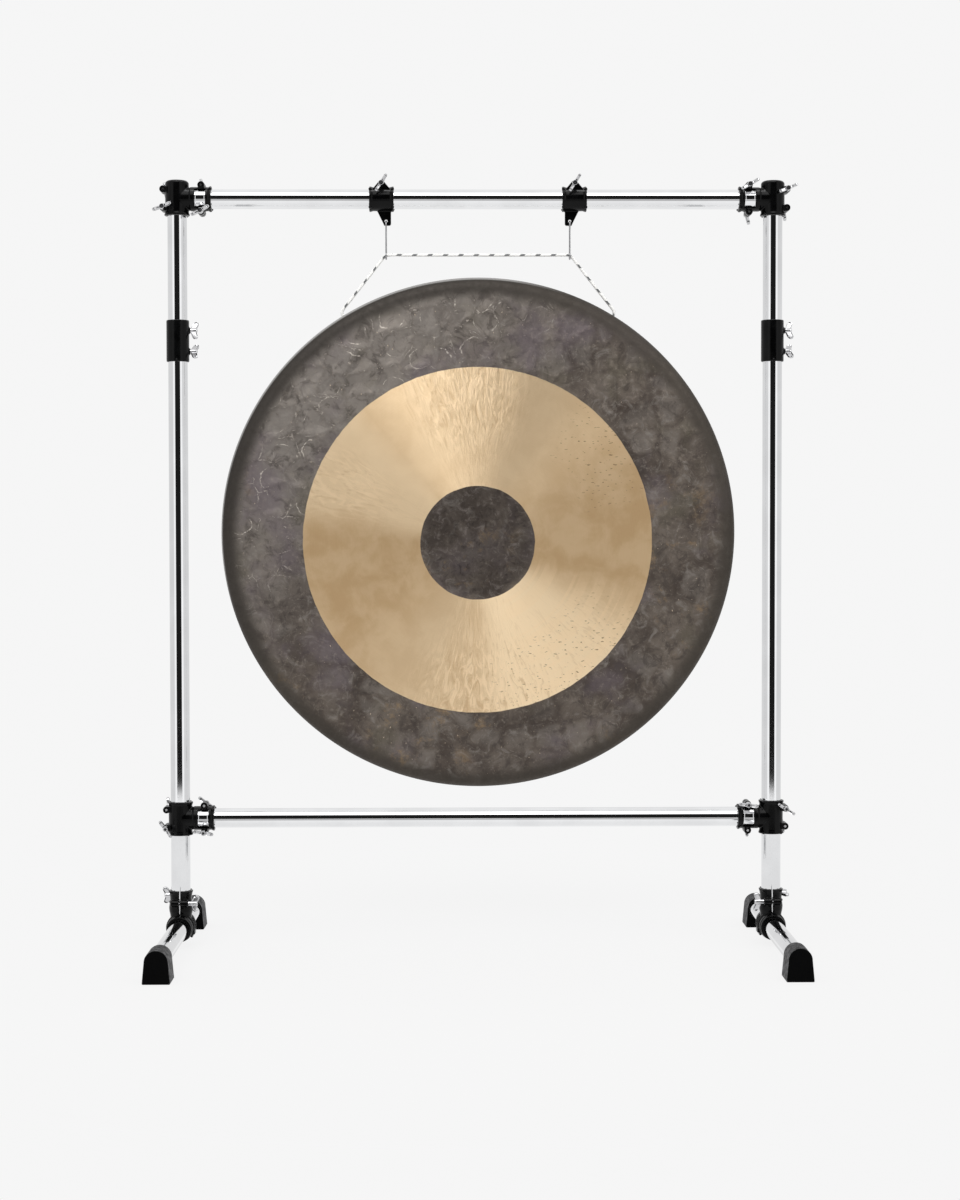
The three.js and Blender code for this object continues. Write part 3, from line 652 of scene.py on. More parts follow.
def t_clamp(capped):
    sleeve = [(0.0245, -0.033), (0.0252, -0.0318), (0.0247, -0.0295), (0.02325, -0.026)]
    if capped:
        sleeve += [(0.02325, 0.0295), (0.0230, 0.0312), (0.0221, 0.0330), (0.0203, 0.0346),
                   (0.0180, 0.0358), (0.0140, 0.0360)]
    else:
        sleeve += [(0.02325, 0.026), (0.0247, 0.0295), (0.0252, 0.0318), (0.0245, 0.033)]
    body = turned_up("clamp", sleeve)
    arm = laid(turned_up("arm", [(0.0226, 0.001), (0.0226, 0.026), (0.0237, 0.0275), (0.0237, 0.0575),
                                 (0.0232, 0.0612), (0.0252, 0.0655), (0.0252, 0.0675), (0.0246, 0.068)]), "X")
    ears = [lobe("Y", (ARM_EAR_X, 0, s * ARM_EAR_Z)) for s in (1, -1)]
    ears += [lobe("Y", (-OUTER_EAR_X, 0, s * OUTER_EAR_Z)) for s in (1, -1)]
    webs = [slab((0.012, 0.030, 0.010), (ARM_EAR_X, 0, s * 0.0225)) for s in (1, -1)]
    webs += [slab((0.010, 0.030, 0.012), (-0.0215, 0, s * OUTER_EAR_Z)) for s in (1, -1)]
    horns = [horn((0.0665, y, z)) for y, z in corners(LIP_RADIUS)]
    for lip in (-LIP_HEIGHT,) if capped else (-LIP_HEIGHT, LIP_HEIGHT):
        horns += [horn((x, y, lip), LIP_HORN) for x, y in corners(LIP_RADIUS)]
    body = merged(body, "UNION", arm, *ears, *webs, *horns)
    cuts = [rod(BORE, -0.05, 0.0333 if capped else 0.04), rod(BORE, 0, 0.08, "X"),
            rod(0.0213, 0.0357, 0.0575, "X"),
            slab((0.0218, 0.06, 0.037), (0.0466, 0, 0)),
            slab((0.0200, SPLIT, 0.120), (-0.0263, 0, 0)),
            slab((0.0430, SPLIT, 0.120), (0.0492, 0, 0))]
    for s in (1, -1):
        cuts += [bolt_hole("Y", (ARM_EAR_X, 0, s * ARM_EAR_Z)),
                 bolt_hole("Y", (-OUTER_EAR_X, 0, s * OUTER_EAR_Z))]
    return moulded(merged(body, "DIFFERENCE", *cuts), CLAMP_VOXEL, 5, 0.4)


for level, height, rider in LEVELS:
    shape = t_clamp(level == "top")
    for side, sign in SIDES:
        nylon_copy(shape, f"clamp_{level}_{side}", (sign * HALF_SPACING, FRAME_PLANE, height),
                   f"t_clamp_{level}_{side}", rider, math.pi if sign > 0 else 0.0)
    bpy.data.objects.remove(shape)

# The straps: bright bands of plated sheet steel, with a raised edge rolled at each side. They lie
# round the bar and are seen in the window of each T clamp.

STRAP_INNER, STRAP_OUTER = 0.0198, 0.0210
STRAP_FLAT = STRAP_OUTER - 0.0004

band = turned_up("band", [(STRAP_FLAT, 0.0360), (STRAP_OUTER, 0.0365), (STRAP_OUTER, 0.0375),
                          (STRAP_FLAT, 0.0385), (STRAP_FLAT, 0.0547), (STRAP_OUTER, 0.0557),
                          (STRAP_OUTER, 0.0567), (STRAP_FLAT, 0.0572)], TUBE_SIDES)
band = laid(merged(band, "DIFFERENCE", rod(STRAP_INNER, 0.03, 0.06, sides=TUBE_SIDES)), "X")
smoothed(band, 12)
for level, height, rider in LEVELS:
    for side, sign in SIDES:
        strap = copied(band, f"strap_{level}_{side}", (sign * HALF_SPACING, FRAME_PLANE, height),
                       math.pi if sign > 0 else 0.0)
        fitted(strap, f"t_clamp_strap_{level}_{side}", rider, chrome_tube)
        keep_off(strap)
bpy.data.objects.remove(band)

# The wing bolts and wing screws: cast wings with dished oblong tips on a round hub, bright plated,
# over a threaded 6 mm shank whose dark end shows in the hub. Each one turns in its clamp.

SHANK_RADIUS, THREAD_PITCH, THREAD_DEPTH = 0.003, 0.001, 0.00045
SHANK_END = SHANK_RADIUS - 0.0006
WING_THICK, WING_DISH, DISH_RIM = 0.0056, 0.0011, 0.0014
LEG_FRONT_BOLT, LEG_REAR_BOLT = 0.088, 0.097
HANGER_X, HANGER_BOLT_Z, HANGER_TURN = 0.1898, 0.028, 58

wing_plate = plate_shader("wing_plate", (0.60, 0.60, 0.61), 0.10, 0.24, 420.0)
dark_thread, tree, shader, place = new_material("dark_thread")
oil = noise(tree, place, 700.0)
feed(shader, {"Metallic": 1.0, "Roughness": ramp(tree, oil, 0.3, 0.7, 0.35, 0.6),
              "Base Color": blend_colour(tree, oil, (0.03, 0.03, 0.032), (0.10, 0.10, 0.105))})


def threaded(start, end):
    """A shank with its ridges, cut as a stack of shallow cones."""
    profile = [(SHANK_END, start)]
    z = start + THREAD_PITCH / 2
    while z < end - THREAD_PITCH / 2:
        profile += [(SHANK_RADIUS, z), (SHANK_RADIUS - THREAD_DEPTH, z + THREAD_PITCH / 2)]
        z += THREAD_PITCH
    profile.append((SHANK_END, end))
    return turned_up("shank", profile, 20)


def prism(outline, through):
    """A closed block from the points of its outline, extruded along a vector."""
    bpy.ops.mesh.primitive_circle_add(vertices=len(outline), radius=0.01, fill_type="NGON")
    block = bpy.context.object
    for vert, point in zip(block.data.vertices, outline):
        vert.co = point
    bpy.ops.object.mode_set(mode="EDIT")
    bpy.ops.mesh.select_all(action="SELECT")
    bpy.ops.mesh.extrude_region_move(TRANSFORM_OT_translate={"value": through})
    bpy.ops.object.mode_set(mode="OBJECT")
    face_out(block)
    return block


def wing(side, near):
    """One cast wing in the plane of the shank: swept outward, round at the tip, both faces dished."""
    outline = [(0.0, near), (0.0056, near), (0.0170, near + 0.0040), (0.0200, near + 0.0070),
               (0.0200, near + 0.0115), (0.0170, near + 0.0145), (0.0056, near + 0.0105),
               (0.0, near + 0.0105)]
    blade = prism([(side * x, -out, -WING_THICK / 2) for x, out in outline], (0, 0, WING_THICK))
    for line in blade.data.edges:
        a, b = (blade.data.vertices[k].co for k in line.vertices)
        line.select = abs(a.z - b.z) > 0.001 and abs(a.x) > 0.006
    bpy.ops.object.mode_set(mode="EDIT")
    bpy.ops.mesh.bevel(offset=0.0022, segments=4)
    bpy.ops.mesh.select_all(action="DESELECT")
    bpy.ops.object.mode_set(mode="OBJECT")
    for face in blade.data.polygons:
        face.select = abs(face.normal.z) > 0.9
    bpy.ops.object.mode_set(mode="EDIT")
    bpy.ops.mesh.inset(thickness=DISH_RIM, depth=-WING_DISH, use_individual=True)
    bpy.ops.object.mode_set(mode="OBJECT")
    bevelled(blade, 0.0005, 3, 35)
    return blade


def wing_fastener(seat, hub_end, wings_at, shank_from, shank_to):
    """Made along Y with the wings at -Y. Distances run out from the middle of the clamp."""
    hub = laid(turned_up("hub", [(0.0050, seat), (0.0056, seat + 0.0006), (0.0056, seat + 0.0040),
                                 (0.0053, hub_end - 0.0030), (0.0049, hub_end - 0.0006),
                                 (0.0043, hub_end)], 32), "Y")
    hub.rotation_euler = (0, 0, math.pi)
    bpy.ops.object.transform_apply()
    blades = [wing(side, wings_at) for side in (1, -1)]
    socket = rod(0.0027, -hub_end - 0.001, -hub_end + 0.0028, "Y", sides=24)
    body = merged(merged(hub, "UNION", *blades), "DIFFERENCE", socket)
    smoothed(body, 38)
    body.data.materials.clear()
    body.data.materials.append(wing_plate)
    shank = laid(threaded(shank_from, shank_to), "Y")
    smoothed(shank, 50)
    shank.data.materials.append(wing_plate)
    tip = laid(turned_up("tip", [(0.0024, -hub_end + 0.0008), (0.0026, -hub_end + 0.0030)], 24), "Y")
    tip.data.materials.append(dark_thread)
    bpy.ops.object.select_all(action="DESELECT")
    for solid in (body, shank, tip):
        solid.select_set(True)
    bpy.context.view_layer.objects.active = body
    bpy.ops.object.join()
    return body


def stood(fastener, node, place, facing, turn):
    """A copy of a wing bolt or screw on a body of its own. The turn of its wings is in degrees."""
    twin = copied(fastener, node.replace("wing_", "winged_"), place, facing, -math.radians(turn))
    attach(twin, node)
    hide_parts(node)


bolt = wing_fastener(0.0173, 0.0355, 0.0240, -0.0250, 0.0167)
wing_turns = {
    ("top", -1): (22, 80, 28, 72), ("top", 1): (22, 80, 30, 72),
    ("lower", -1): (-54, 80, -9, 35), ("lower", 1): (-32, 80, -7, 72),
}
for level, height, _ in LEVELS:
    for side, sign in SIDES:
        outer, outer_rear, arm, arm_rear = wing_turns[level, sign]
        for rank, row in (("upper", 1), ("lower", -1)):
            front = row == sign
            facing = 0.0 if front else math.pi
            stood(bolt, f"wing_bolt_{level}_{side}_outer_{rank}",
                  (sign * (HALF_SPACING + OUTER_EAR_X), FRAME_PLANE, height + row * OUTER_EAR_Z),
                  facing, outer if front else outer_rear)
            stood(bolt, f"wing_bolt_{level}_{side}_arm_{rank}",
                  (sign * (HALF_SPACING - ARM_EAR_X), FRAME_PLANE, height + row * ARM_EAR_Z),
                  facing, arm if front else arm_rear)
for side, sign in SIDES:
    front_turn, rear_turn = (38, 60) if sign < 0 else (72, 6)
    for rank, row, height, turn in (("front", -1, LEG_FRONT_BOLT, front_turn),
                                    ("rear", 1, LEG_REAR_BOLT, rear_turn)):
        stood(bolt, f"wing_bolt_leg_{side}_{rank}",
              (sign * HALF_SPACING, FRAME_PLANE + row * OUTER_EAR_X, height), row * sign * quarter, turn)
    stood(bolt, f"wing_bolt_hanger_{side}",
          (ROPE_MIDDLE + sign * HANGER_X, FRAME_PLANE, TOP_BAR + HANGER_BOLT_Z), 0.0, HANGER_TURN)
bpy.data.objects.remove(bolt)
screw = wing_fastener(0.0249, 0.0381, 0.0265, -0.0320, -0.0194)
for side, sign in SIDES:
    for rank, row, turn in (("upper", 1, 58), ("lower", -1, 42)):
        stood(screw, f"wing_screw_coupler_{side}_{rank}",
              (sign * HALF_SPACING, FRAME_PLANE, JOINT + row * SCREW_ROW), quarter, turn)
bpy.data.objects.remove(screw)

# The hangers: split black collars on the top bar, pinched by one bolt through a pointed ear, each
# with a tongue below that the wire is hooked through.

HANGER_EAR, EAR_SHOULDER = 0.007, 31
EYE_HOLE, EYE_HOLE_X, EYE_HOLE_Z = 0.0030, 0.0088, -0.0430


def plate_from(points, thickness):
    """A flat plate in X and Z from its outline, with its thickness along Y."""
    return prism([(x, -thickness / 2, z) for x, z in points], (0, thickness, 0))


def hanger(inward):
    body = laid(turned_up("hanger", [(0.0243, -0.024), (0.0250, -0.0228), (0.0246, -0.0205),
                                     (0.0232, -0.0165), (0.0236, 0.0), (0.0232, 0.0165), (0.0246, 0.0205),
                                     (0.0250, 0.0228), (0.0243, 0.024)]), "X")
    ear_points = [(-0.0165, 0.0150), (0.0165, 0.0150), (0.0165, 0.0190), (0.0060, 0.0316)]
    ear_points += [(HANGER_EAR * math.cos(a), HANGER_BOLT_Z + HANGER_EAR * math.sin(a))
                   for a in np.linspace(math.radians(EAR_SHOULDER), math.radians(180 - EAR_SHOULDER), 9)]
    ear_points += [(-0.0060, 0.0316), (-0.0165, 0.0190)]
    tongue = [(inward * x, z) for x, z in (
        (0.0186, -0.0194), (0.0186, -0.0490), (0.0177, -0.0511), (0.0156, -0.0520), (0.0055, -0.0520),
        (0.0046, -0.0512), (0.0040, -0.0490), (-0.0086, -0.0236), (-0.0086, -0.0194))]
    horns = [horn((x, y, z), 0.0032) for x in (-0.0222, 0.0222) for y, z in corners(0.0250)]
    body = merged(body, "UNION", plate_from(ear_points, 0.034), plate_from(tongue, 0.005), *horns)
    body = merged(body, "DIFFERENCE", rod(BORE, -0.03, 0.03, "X"), slab((0.06, SPLIT, 0.037), (0, 0, 0.0185)),
                  bolt_hole("Y", (0, 0, HANGER_BOLT_Z)),
                  rod(EYE_HOLE, -0.01, 0.01, "Y", (inward * EYE_HOLE_X, 0, EYE_HOLE_Z), EAR_SIDES))
    return moulded(body, 0.0008, 5, 0.5)


for side, sign in SIDES:
    shape = hanger(-sign)
    nylon_copy(shape, f"hanger_{side}", (ROPE_MIDDLE + sign * HANGER_X, FRAME_PLANE, TOP_BAR),
               f"hanger_clamp_{side}", f"hanger_{side}")
    bpy.data.objects.remove(shape)

# The leg clamps: a split collar on the foot of each upright, one piece with a ribbed saddle over
# the leg tube, and a jaw that closes the saddle from below.

FRONT_EAR, REAR_EAR = LEG_FRONT_BOLT - LEG_AXIS, LEG_REAR_BOLT - LEG_AXIS
LEG_EARS = ((-1, FRONT_EAR), (1, REAR_EAR))


def saddle(inner):
    solid = laid(turned_up("saddle", [(0.0242, -0.040), (0.0250, -0.0385), (0.0238, -0.034), (0.0252, -0.029),
                                      (0.0262, -0.027), (0.0262, 0.027), (0.0252, 0.029), (0.0238, 0.034),
                                      (0.0250, 0.0385), (0.0242, 0.040)]), "Y")
    return merged(solid, "DIFFERENCE", rod(inner, -0.05, 0.05, "Y"))


def leg_clamp():
    collar = turned_up("collar", [(0.0205, 0.005), (0.0212, 0.024), (0.0230, 0.032), (0.0236, 0.039),
                                  (0.0226, 0.046), (0.0214, 0.053), (0.0214, 0.060), (0.0226, 0.067),
                                  (0.0240, 0.0712), (0.0242, 0.0723), (0.0236, 0.073)])
    ribs = [laid(turned_up("rib", [(0.0276, y - 0.0020), (0.0284, y - 0.0012), (0.0284, y + 0.0012),
                                   (0.0276, y + 0.0020)]), "Y") for y in (-0.013, 0, 0.013)]
    ears = [lobe("X", (0, s * OUTER_EAR_X, z)) for s, z in LEG_EARS]
    webs = [slab((0.030, 0.012, 0.012), (0, s * 0.0215, z)) for s, z in LEG_EARS]
    horns = [horn((x, y, 0.0708), 0.0030) for x, y in corners(0.0246)]
    band = turned_up("band", [(0.0225, FRONT_EAR - 0.0020), (0.0236, FRONT_EAR - 0.0010),
                              (0.0236, FRONT_EAR + 0.0010), (0.0225, FRONT_EAR + 0.0020)])
    body = merged(collar, "UNION", saddle(0.015), *ribs, band, *ears, *webs, *horns)
    cuts = [rod(BORE, -0.05, 0.05, "Y"), rod(BORE, 0.024, 0.09),
            slab((0.08, 0.1, 0.05), (0, 0, -0.005 - 0.025)),
            slab((SPLIT, 0.08, 0.060), (0, 0, 0.027 + 0.030))]
    cuts += [bolt_hole("X", (0, s * OUTER_EAR_X, z), HOLE_SIDES) for s, z in LEG_EARS]
    return moulded(merged(body, "DIFFERENCE", *cuts), CLAMP_VOXEL, 4, 0.5)


def leg_jaw():
    body = saddle(BORE)
    ears = [slab((0.007, 0.022, 0.009), (s * 0.02485, 0, -0.0098)) for s in (1, -1)]
    ears += [slab((0.004, 0.030, 0.004), (s * 0.0225, 0, -0.0175)) for s in (1, -1)]
    body = merged(body, "UNION", *ears)
    above = slab((0.1, 0.1, 0.06), (0, 0, 0.03 - 0.0053))
    body = merged(body, "DIFFERENCE", above, rod(BORE, -0.05, 0.05, "Y"))
    return moulded(body, CLAMP_VOXEL, 4, 0.5)


clamp_shape, jaw_shape = leg_clamp(), leg_jaw()
for side, sign in SIDES:
    place = (sign * HALF_SPACING, FRAME_PLANE, LEG_AXIS)
    nylon_copy(clamp_shape, f"foot_clamp_{side}", place, f"leg_clamp_{side}", f"leg_{side}")
    nylon_copy(jaw_shape, f"foot_jaw_{side}", place, f"leg_clamp_jaw_{side}", f"leg_{side}")
for shape in (clamp_shape, jaw_shape):
    bpy.data.objects.remove(shape)

# The feet: arched blocks of black rubber pushed over the ends of the leg tubes, flat below, with a
# smooth end face and grey flanks. The flanks' grey is partly real scuffing and partly painted sheen.

FOOT_END, FOOT_LENGTH, FOOT_HALF, FOOT_SKIN = 0.3115, 0.062, 0.02585, 0.006
ARCH_RADIUS, ARCH_SPRING, SOLE_EDGE = 0.0222, 0.0402, 0.0012

foot_rubber, tree, shader, place = new_material("foot_rubber")
normal = tree.nodes.new("ShaderNodeNewGeometry").outputs["Normal"]
_, endways, upward = add(tree, "SeparateXYZ", {0: normal}).outputs
scuff = noise(tree, place, 120.0, 8.0, 0.74)
# Painted sheen: the flanks lighter, the end faces dark and the top a little darker, set by which way each
# face points; the scuff pattern on them is real.
scuff_and_sheen = times(tree, ramp(tree, scuff, 0.36, 0.66, 0.22, 0.90),
             ramp(tree, maths(tree, "ABSOLUTE", endways), 0.4, 0.9, 1, 0.0))
scuff_and_sheen = times(tree, scuff_and_sheen, ramp(tree, upward, 0.3, 1.0, 1, 0.62))
feed(shader, {"Base Color": blend_colour(tree, scuff_and_sheen, (0.0018, 0.0018, 0.0019), (0.20, 0.20, 0.205)),
              "Roughness": ramp(tree, scuff, 0.3, 0.7, 0.62, 0.85), "Specular IOR Level": 0.03,
              "Normal": bump(tree, noise(tree, place, 1100.0), 0.2, 0.0003)})


def rubber_foot():
    """Made with the blind end at -Y and the socket at +Y."""
    outline = [(FOOT_HALF - SOLE_EDGE, 0.0), (FOOT_HALF, 0.0016)]
    outline += [(ARCH_RADIUS * math.cos(a), ARCH_SPRING + ARCH_RADIUS * math.sin(a))
                for a in np.linspace(0, math.pi, 33)]
    outline += [(-FOOT_HALF, 0.0016), (-FOOT_HALF + SOLE_EDGE, 0.0)]
    block = plate_from(outline, FOOT_LENGTH)
    block.data.transform(Matrix.Translation((0, FOOT_LENGTH / 2, 0)))
    block = merged(block, "DIFFERENCE", rod(BORE, FOOT_SKIN, 0.07, "Y", (0, 0, LEG_AXIS)))
    bevelled(block, 0.0013, 4, 45)
    smoothed(block, 35)
    return block


foot = rubber_foot()
for side, sign in SIDES:
    for end, y, turn in (("front", -FOOT_END, 0.0), ("rear", FOOT_END, math.pi)):
        fitted(copied(foot, f"foot_{end}_{side}", (sign * HALF_SPACING, y, 0), turn),
               f"rubber_foot_{end}_{side}", f"leg_{side}", foot_rubber)
bpy.data.objects.remove(foot)

# The gong: spun and hammered bronze, 1.02 m across, its rim turned back. The face keeps its dark
# patina but for a broad ring scraped bright on the lathe, and a dark boss left in the middle.

GONG_MIDDLE = (0.005, 0.069637, 0.808937)
GONG_TILT = math.radians(7.6755)
GONG_RADIUS, FACE_RADIUS, FACE_RISE, GONG_WALL = 0.510, 0.484, 0.030, 0.0025
RIM_DEPTH, CORNER_DEPTH, RIM_TAPER = 0.095, 0.024, 0.005
RIM_HOLE, HOLE_X, HOLE_RISE, HOLE_DEPTH, HOLE_REACH = 0.004, 0.265, 0.4337, 0.062, 0.5059
RING_OUTER, RING_INNER = 0.3440, 0.1128
RING_DROP, RING_SHIFT = 0.0055, -0.0018
SPIN_STEPS = 300


def gong_face(radius):
    share = np.minimum(radius / FACE_RADIUS, 1)
    return -FACE_RISE * (1 - share * share)


profile = [(r, float(gong_face(r))) for r in np.linspace(0.0, FACE_RADIUS, 122)]
for angle in np.linspace(0, quarter, 11)[1:]:
    profile.append((FACE_RADIUS + (GONG_RADIUS - FACE_RADIUS) * math.sin(angle),
                    CORNER_DEPTH * (1 - math.cos(angle))))
for share in np.linspace(0, 1, 15)[1:]:
    profile.append((GONG_RADIUS - RIM_TAPER * share, CORNER_DEPTH + (RIM_DEPTH - CORNER_DEPTH) * share))

bpy.ops.mesh.primitive_circle_add(vertices=3, radius=0.01, fill_type="NOTHING")
gong = bpy.context.object
gong.name = "gong_bronze"
mesh = bpy.data.meshes.new("gong_profile")
mesh.from_pydata([(r, y, 0) for r, y in profile], [(i, i + 1) for i in range(len(profile) - 1)], [])
gong.data = mesh
only(gong)
bpy.ops.object.mode_set(mode="EDIT")
bpy.ops.mesh.select_all(action="SELECT")
bpy.ops.mesh.spin(steps=SPIN_STEPS, angle=2 * math.pi, center=(0, 0, 0), axis=(0, 1, 0))
bpy.ops.mesh.select_all(action="SELECT")
bpy.ops.mesh.remove_doubles(threshold=0.00001)
bpy.ops.object.mode_set(mode="OBJECT")
face_out(gong)

rng = np.random.default_rng(41)
points = np.array([v.co for v in gong.data.vertices], float)
x, z = points[:, 0], points[:, 2]
radius = np.hypot(x, z)


def off_mark(away, angle):
    """The square of each point's distance from a mark at an angle and a distance from the middle."""
    dx, dz = x - away * math.cos(angle), z - away * math.sin(angle)
    return dx * dx + dz * dz


def hammer_blows(ring_radii, spacing, depth, size, wander):
    """Shallow round dents, struck in rings round the face, each a little off its mark."""
    rise = np.zeros(len(x))
    for ring in ring_radii:
        count = max(6, int(2 * math.pi * ring / spacing))
        start = rng.uniform(0, 2 * math.pi)
        for i in range(count):
            angle = start + 2 * math.pi * i / count + rng.normal(0, wander / max(ring, 0.02))
            away = ring + rng.normal(0, wander)
            width = size * rng.uniform(0.75, 1.3)
            near = np.maximum(0, 1 - off_mark(away, angle) / (width * width))
            rise += depth * rng.uniform(0.5, 1.3) * near * near
    return rise


def ease(value, low, high):
    share = np.clip((value - low) / (high - low), 0, 1)
    return share * share * (3 - 2 * share)


ring_radius = np.hypot(x - RING_SHIFT, z + RING_DROP)
outer_field = ease(ring_radius, 0.335, 0.365) * (1 - ease(radius, 0.468, 0.486))
dents = hammer_blows((0.366, 0.408, 0.448), 0.058, 0.0016, 0.036, 0.008) * outer_field
dents += hammer_blows(np.arange(0.14, 0.36, 0.033), 0.052, 0.00016, 0.028, 0.010) * (1 - outer_field)
swell = np.zeros(len(x))
for _ in range(26):
    angle, away, width = rng.uniform(0, 2 * math.pi), rng.uniform(0, 0.45), rng.uniform(0.06, 0.13)
    swell += rng.normal(0, 0.0005) * np.exp(-off_mark(away, angle) / (2 * width * width))
points[:, 1] += (dents + swell) * (1 - ease(radius, 0.470, 0.490))
gong.data.vertices.foreach_set("co", points.astype(np.float32).ravel())
gong.data.update()

walled(gong, GONG_WALL)
apply_modifiers(gong)
for side, sign in SIDES:
    drill = turned_up("drill", [(RIM_HOLE, -0.012), (RIM_HOLE, 0.012)], 32)
    lean = Matrix.Rotation(math.atan2(sign * HOLE_X, HOLE_RISE), 4, "Y")
    drill.data.transform(lean @ Matrix.Translation((0, HOLE_DEPTH, HOLE_REACH)))
    gong = merged(gong, "DIFFERENCE", drill)
smoothed(gong, 45)

lay = gong.data.uv_layers.new(name="round")
coords = np.array([v.co for v in gong.data.vertices], float)
turn = np.arctan2(coords[:, 0] - RING_SHIFT, coords[:, 2] + RING_DROP) / (2 * math.pi) + 0.5
away = np.hypot(coords[:, 0] - RING_SHIFT, coords[:, 2] + RING_DROP)
for poly in gong.data.polygons:
    turns = [turn[v] for v in poly.vertices]
    wrap = max(turns) - min(turns) > 0.5
    for loop, vert in zip(poly.loop_indices, poly.vertices):
        u = turn[vert] + (1 if wrap and turn[vert] < 0.5 else 0)
        lay.data[loop].uv = (u, away[vert])
gong.data.transform(Matrix.Translation(GONG_MIDDLE) @ Matrix.Rotation(GONG_TILT, 4, "X"))

bronze, tree, dark_skin, place = new_material("gong_bronze")
whole = add(tree, "Mapping", {"Vector": place, "Location": GONG_MIDDLE, "Rotation": (GONG_TILT, 0, 0)},
            vector_type="TEXTURE").outputs[0]
uv = add(tree, "UVMap", {}, uv_map="round")
around, outward, _ = add(tree, "SeparateXYZ", {0: uv.outputs[0]}).outputs
flat_x, _, flat_z = add(tree, "SeparateXYZ", {0: whole}).outputs


def near_turn(tree, middle, core, reach):
    """1 within the core of a middle value of the turn, falling to 0 at the reach, round the circle."""
    apart = maths(tree, "PINGPONG", maths(tree, "ADD", around, 1.0 - middle), 0.5)
    return ramp(tree, apart, core, reach, 1, 0)


def largest(tree, *values):
    most = values[-1]
    for value in reversed(values[:-1]):
        most = maths(tree, "MAXIMUM", value, most)
    return most


def stretched(tree, vector, scale):
    return add(tree, "VectorMath", {0: vector, 1: scale}, operation="MULTIPLY").outputs[0]


def facets(tree, feature):
    return add(tree, "TexVoronoi", {"Vector": bent, "Scale": 17.0, "Randomness": 0.85},
               voronoi_dimensions="2D", feature=feature)


def turning_marks(tree, scale, detail):
    return add(tree, "TexNoise", {"W": outward, "Scale": scale, "Detail": detail},
               noise_dimensions="1D").outputs[0]


mottle = noise(tree, whole, 9.0, 9.0, 0.62, 0.4)
fine = noise(tree, whole, 120.0, 6.0, 0.65)
radius_now = maths(tree, "SQRT", maths(tree, "ADD", times(tree, flat_x, flat_x), times(tree, flat_z, flat_z)))

# Each blow leaves a rounded facet. The ridges between the facets are rubbed bright in places, partly real
# wear and partly painted highlight: they are brightest at the upper left, where the light falls.
flat = add(tree, "CombineXYZ", {0: flat_x, 1: flat_z}).outputs[0]
stray = add(tree, "TexNoise", {"Vector": flat, "Scale": 22.0, "Detail": 3.0})
bent = add(tree, "VectorMath", {0: stray.outputs["Color"], 1: (0.030, 0.030, 0.0), 2: flat},
           operation="MULTIPLY_ADD").outputs[0]
edge_gap = facets(tree, "DISTANCE_TO_EDGE").outputs["Distance"]
facet = facets(tree, "F1")
facet_tone, _, _ = add(tree, "SeparateXYZ", {0: facet.outputs["Color"]}).outputs
# Painted light: a mask that grows towards the upper left of the face, where the light falls.
lit_upper_left = ramp(tree, maths(tree, "SUBTRACT", flat_z, flat_x), 0.02, 0.64)
worked = window(tree, radius_now, 0.33, 0.36, 0.474, 0.492)
dished = times(tree, ramp(tree, edge_gap, 0.02, 0.24), worked)
cloudy = noise(tree, whole, 34.0, 7.0, 0.68, 0.8)
rusty = times(tree, ramp(tree, noise(tree, whole, 19.0, 9.0, 0.74), 0.53, 0.66, 0, 0.75),
              ramp(tree, noise(tree, whole, 4.4, 2.0, 0.55), 0.50, 0.60), ramp(tree, flat_z, 0.20, -0.06))
# Painted highlight share: the hammered field, fuller towards the upper left, where the light falls.
lit_share_of_field = times(tree, worked, ramp(tree, lit_upper_left, 0.20, 0.80, 0.16, 1))
broken = times(tree, ramp(tree, noise(tree, whole, 20.0, 3.0, 0.55), 0.52, 0.60),
               ramp(tree, noise(tree, whole, 130.0, 5.0, 0.8), 0.45, 0.55, 0.1, 1))
bowl = maths(tree, "ABSOLUTE", maths(tree, "SUBTRACT", facet.outputs["Distance"], 0.375))
rubbed_and_glinting = times(tree, largest(tree, ramp(tree, bowl, 0.006, 0.024, 1, 0),
                             times(tree, ramp(tree, edge_gap, 0.005, 0.024, 1, 0), 0.6)), broken, lit_share_of_field)
crumb_noise = noise(tree, stretched(tree, bent, (90.0, 170.0, 1.0)), 1.0, 4.0, 0.7)
crumbs_and_glints = times(tree, ramp(tree, edge_gap, 0.02, 0.14, 1, 0), ramp(tree, crumb_noise, 0.60, 0.66), lit_share_of_field)
speck_noise = noise(tree, stretched(tree, flat, (230.0, 120.0, 1.0)), 1.0, 3.0, 0.55)
rim_dark = ramp(tree, radius_now, 0.464, 0.493, 0, 0.85)
# Painted highlight: a thin light line along the rim's outermost edge, at the upper left only.
lip = times(tree, ramp(tree, radius_now, 0.5055, 0.5080, 0, 0.75), ramp(tree, lit_upper_left, 0.40, 0.85))
boss = ramp(tree, radius_now, 0.100, 0.120, 1, 0)
boss_marks = noise(tree, whole, 60.0, 7.0, 0.72, 0.7)

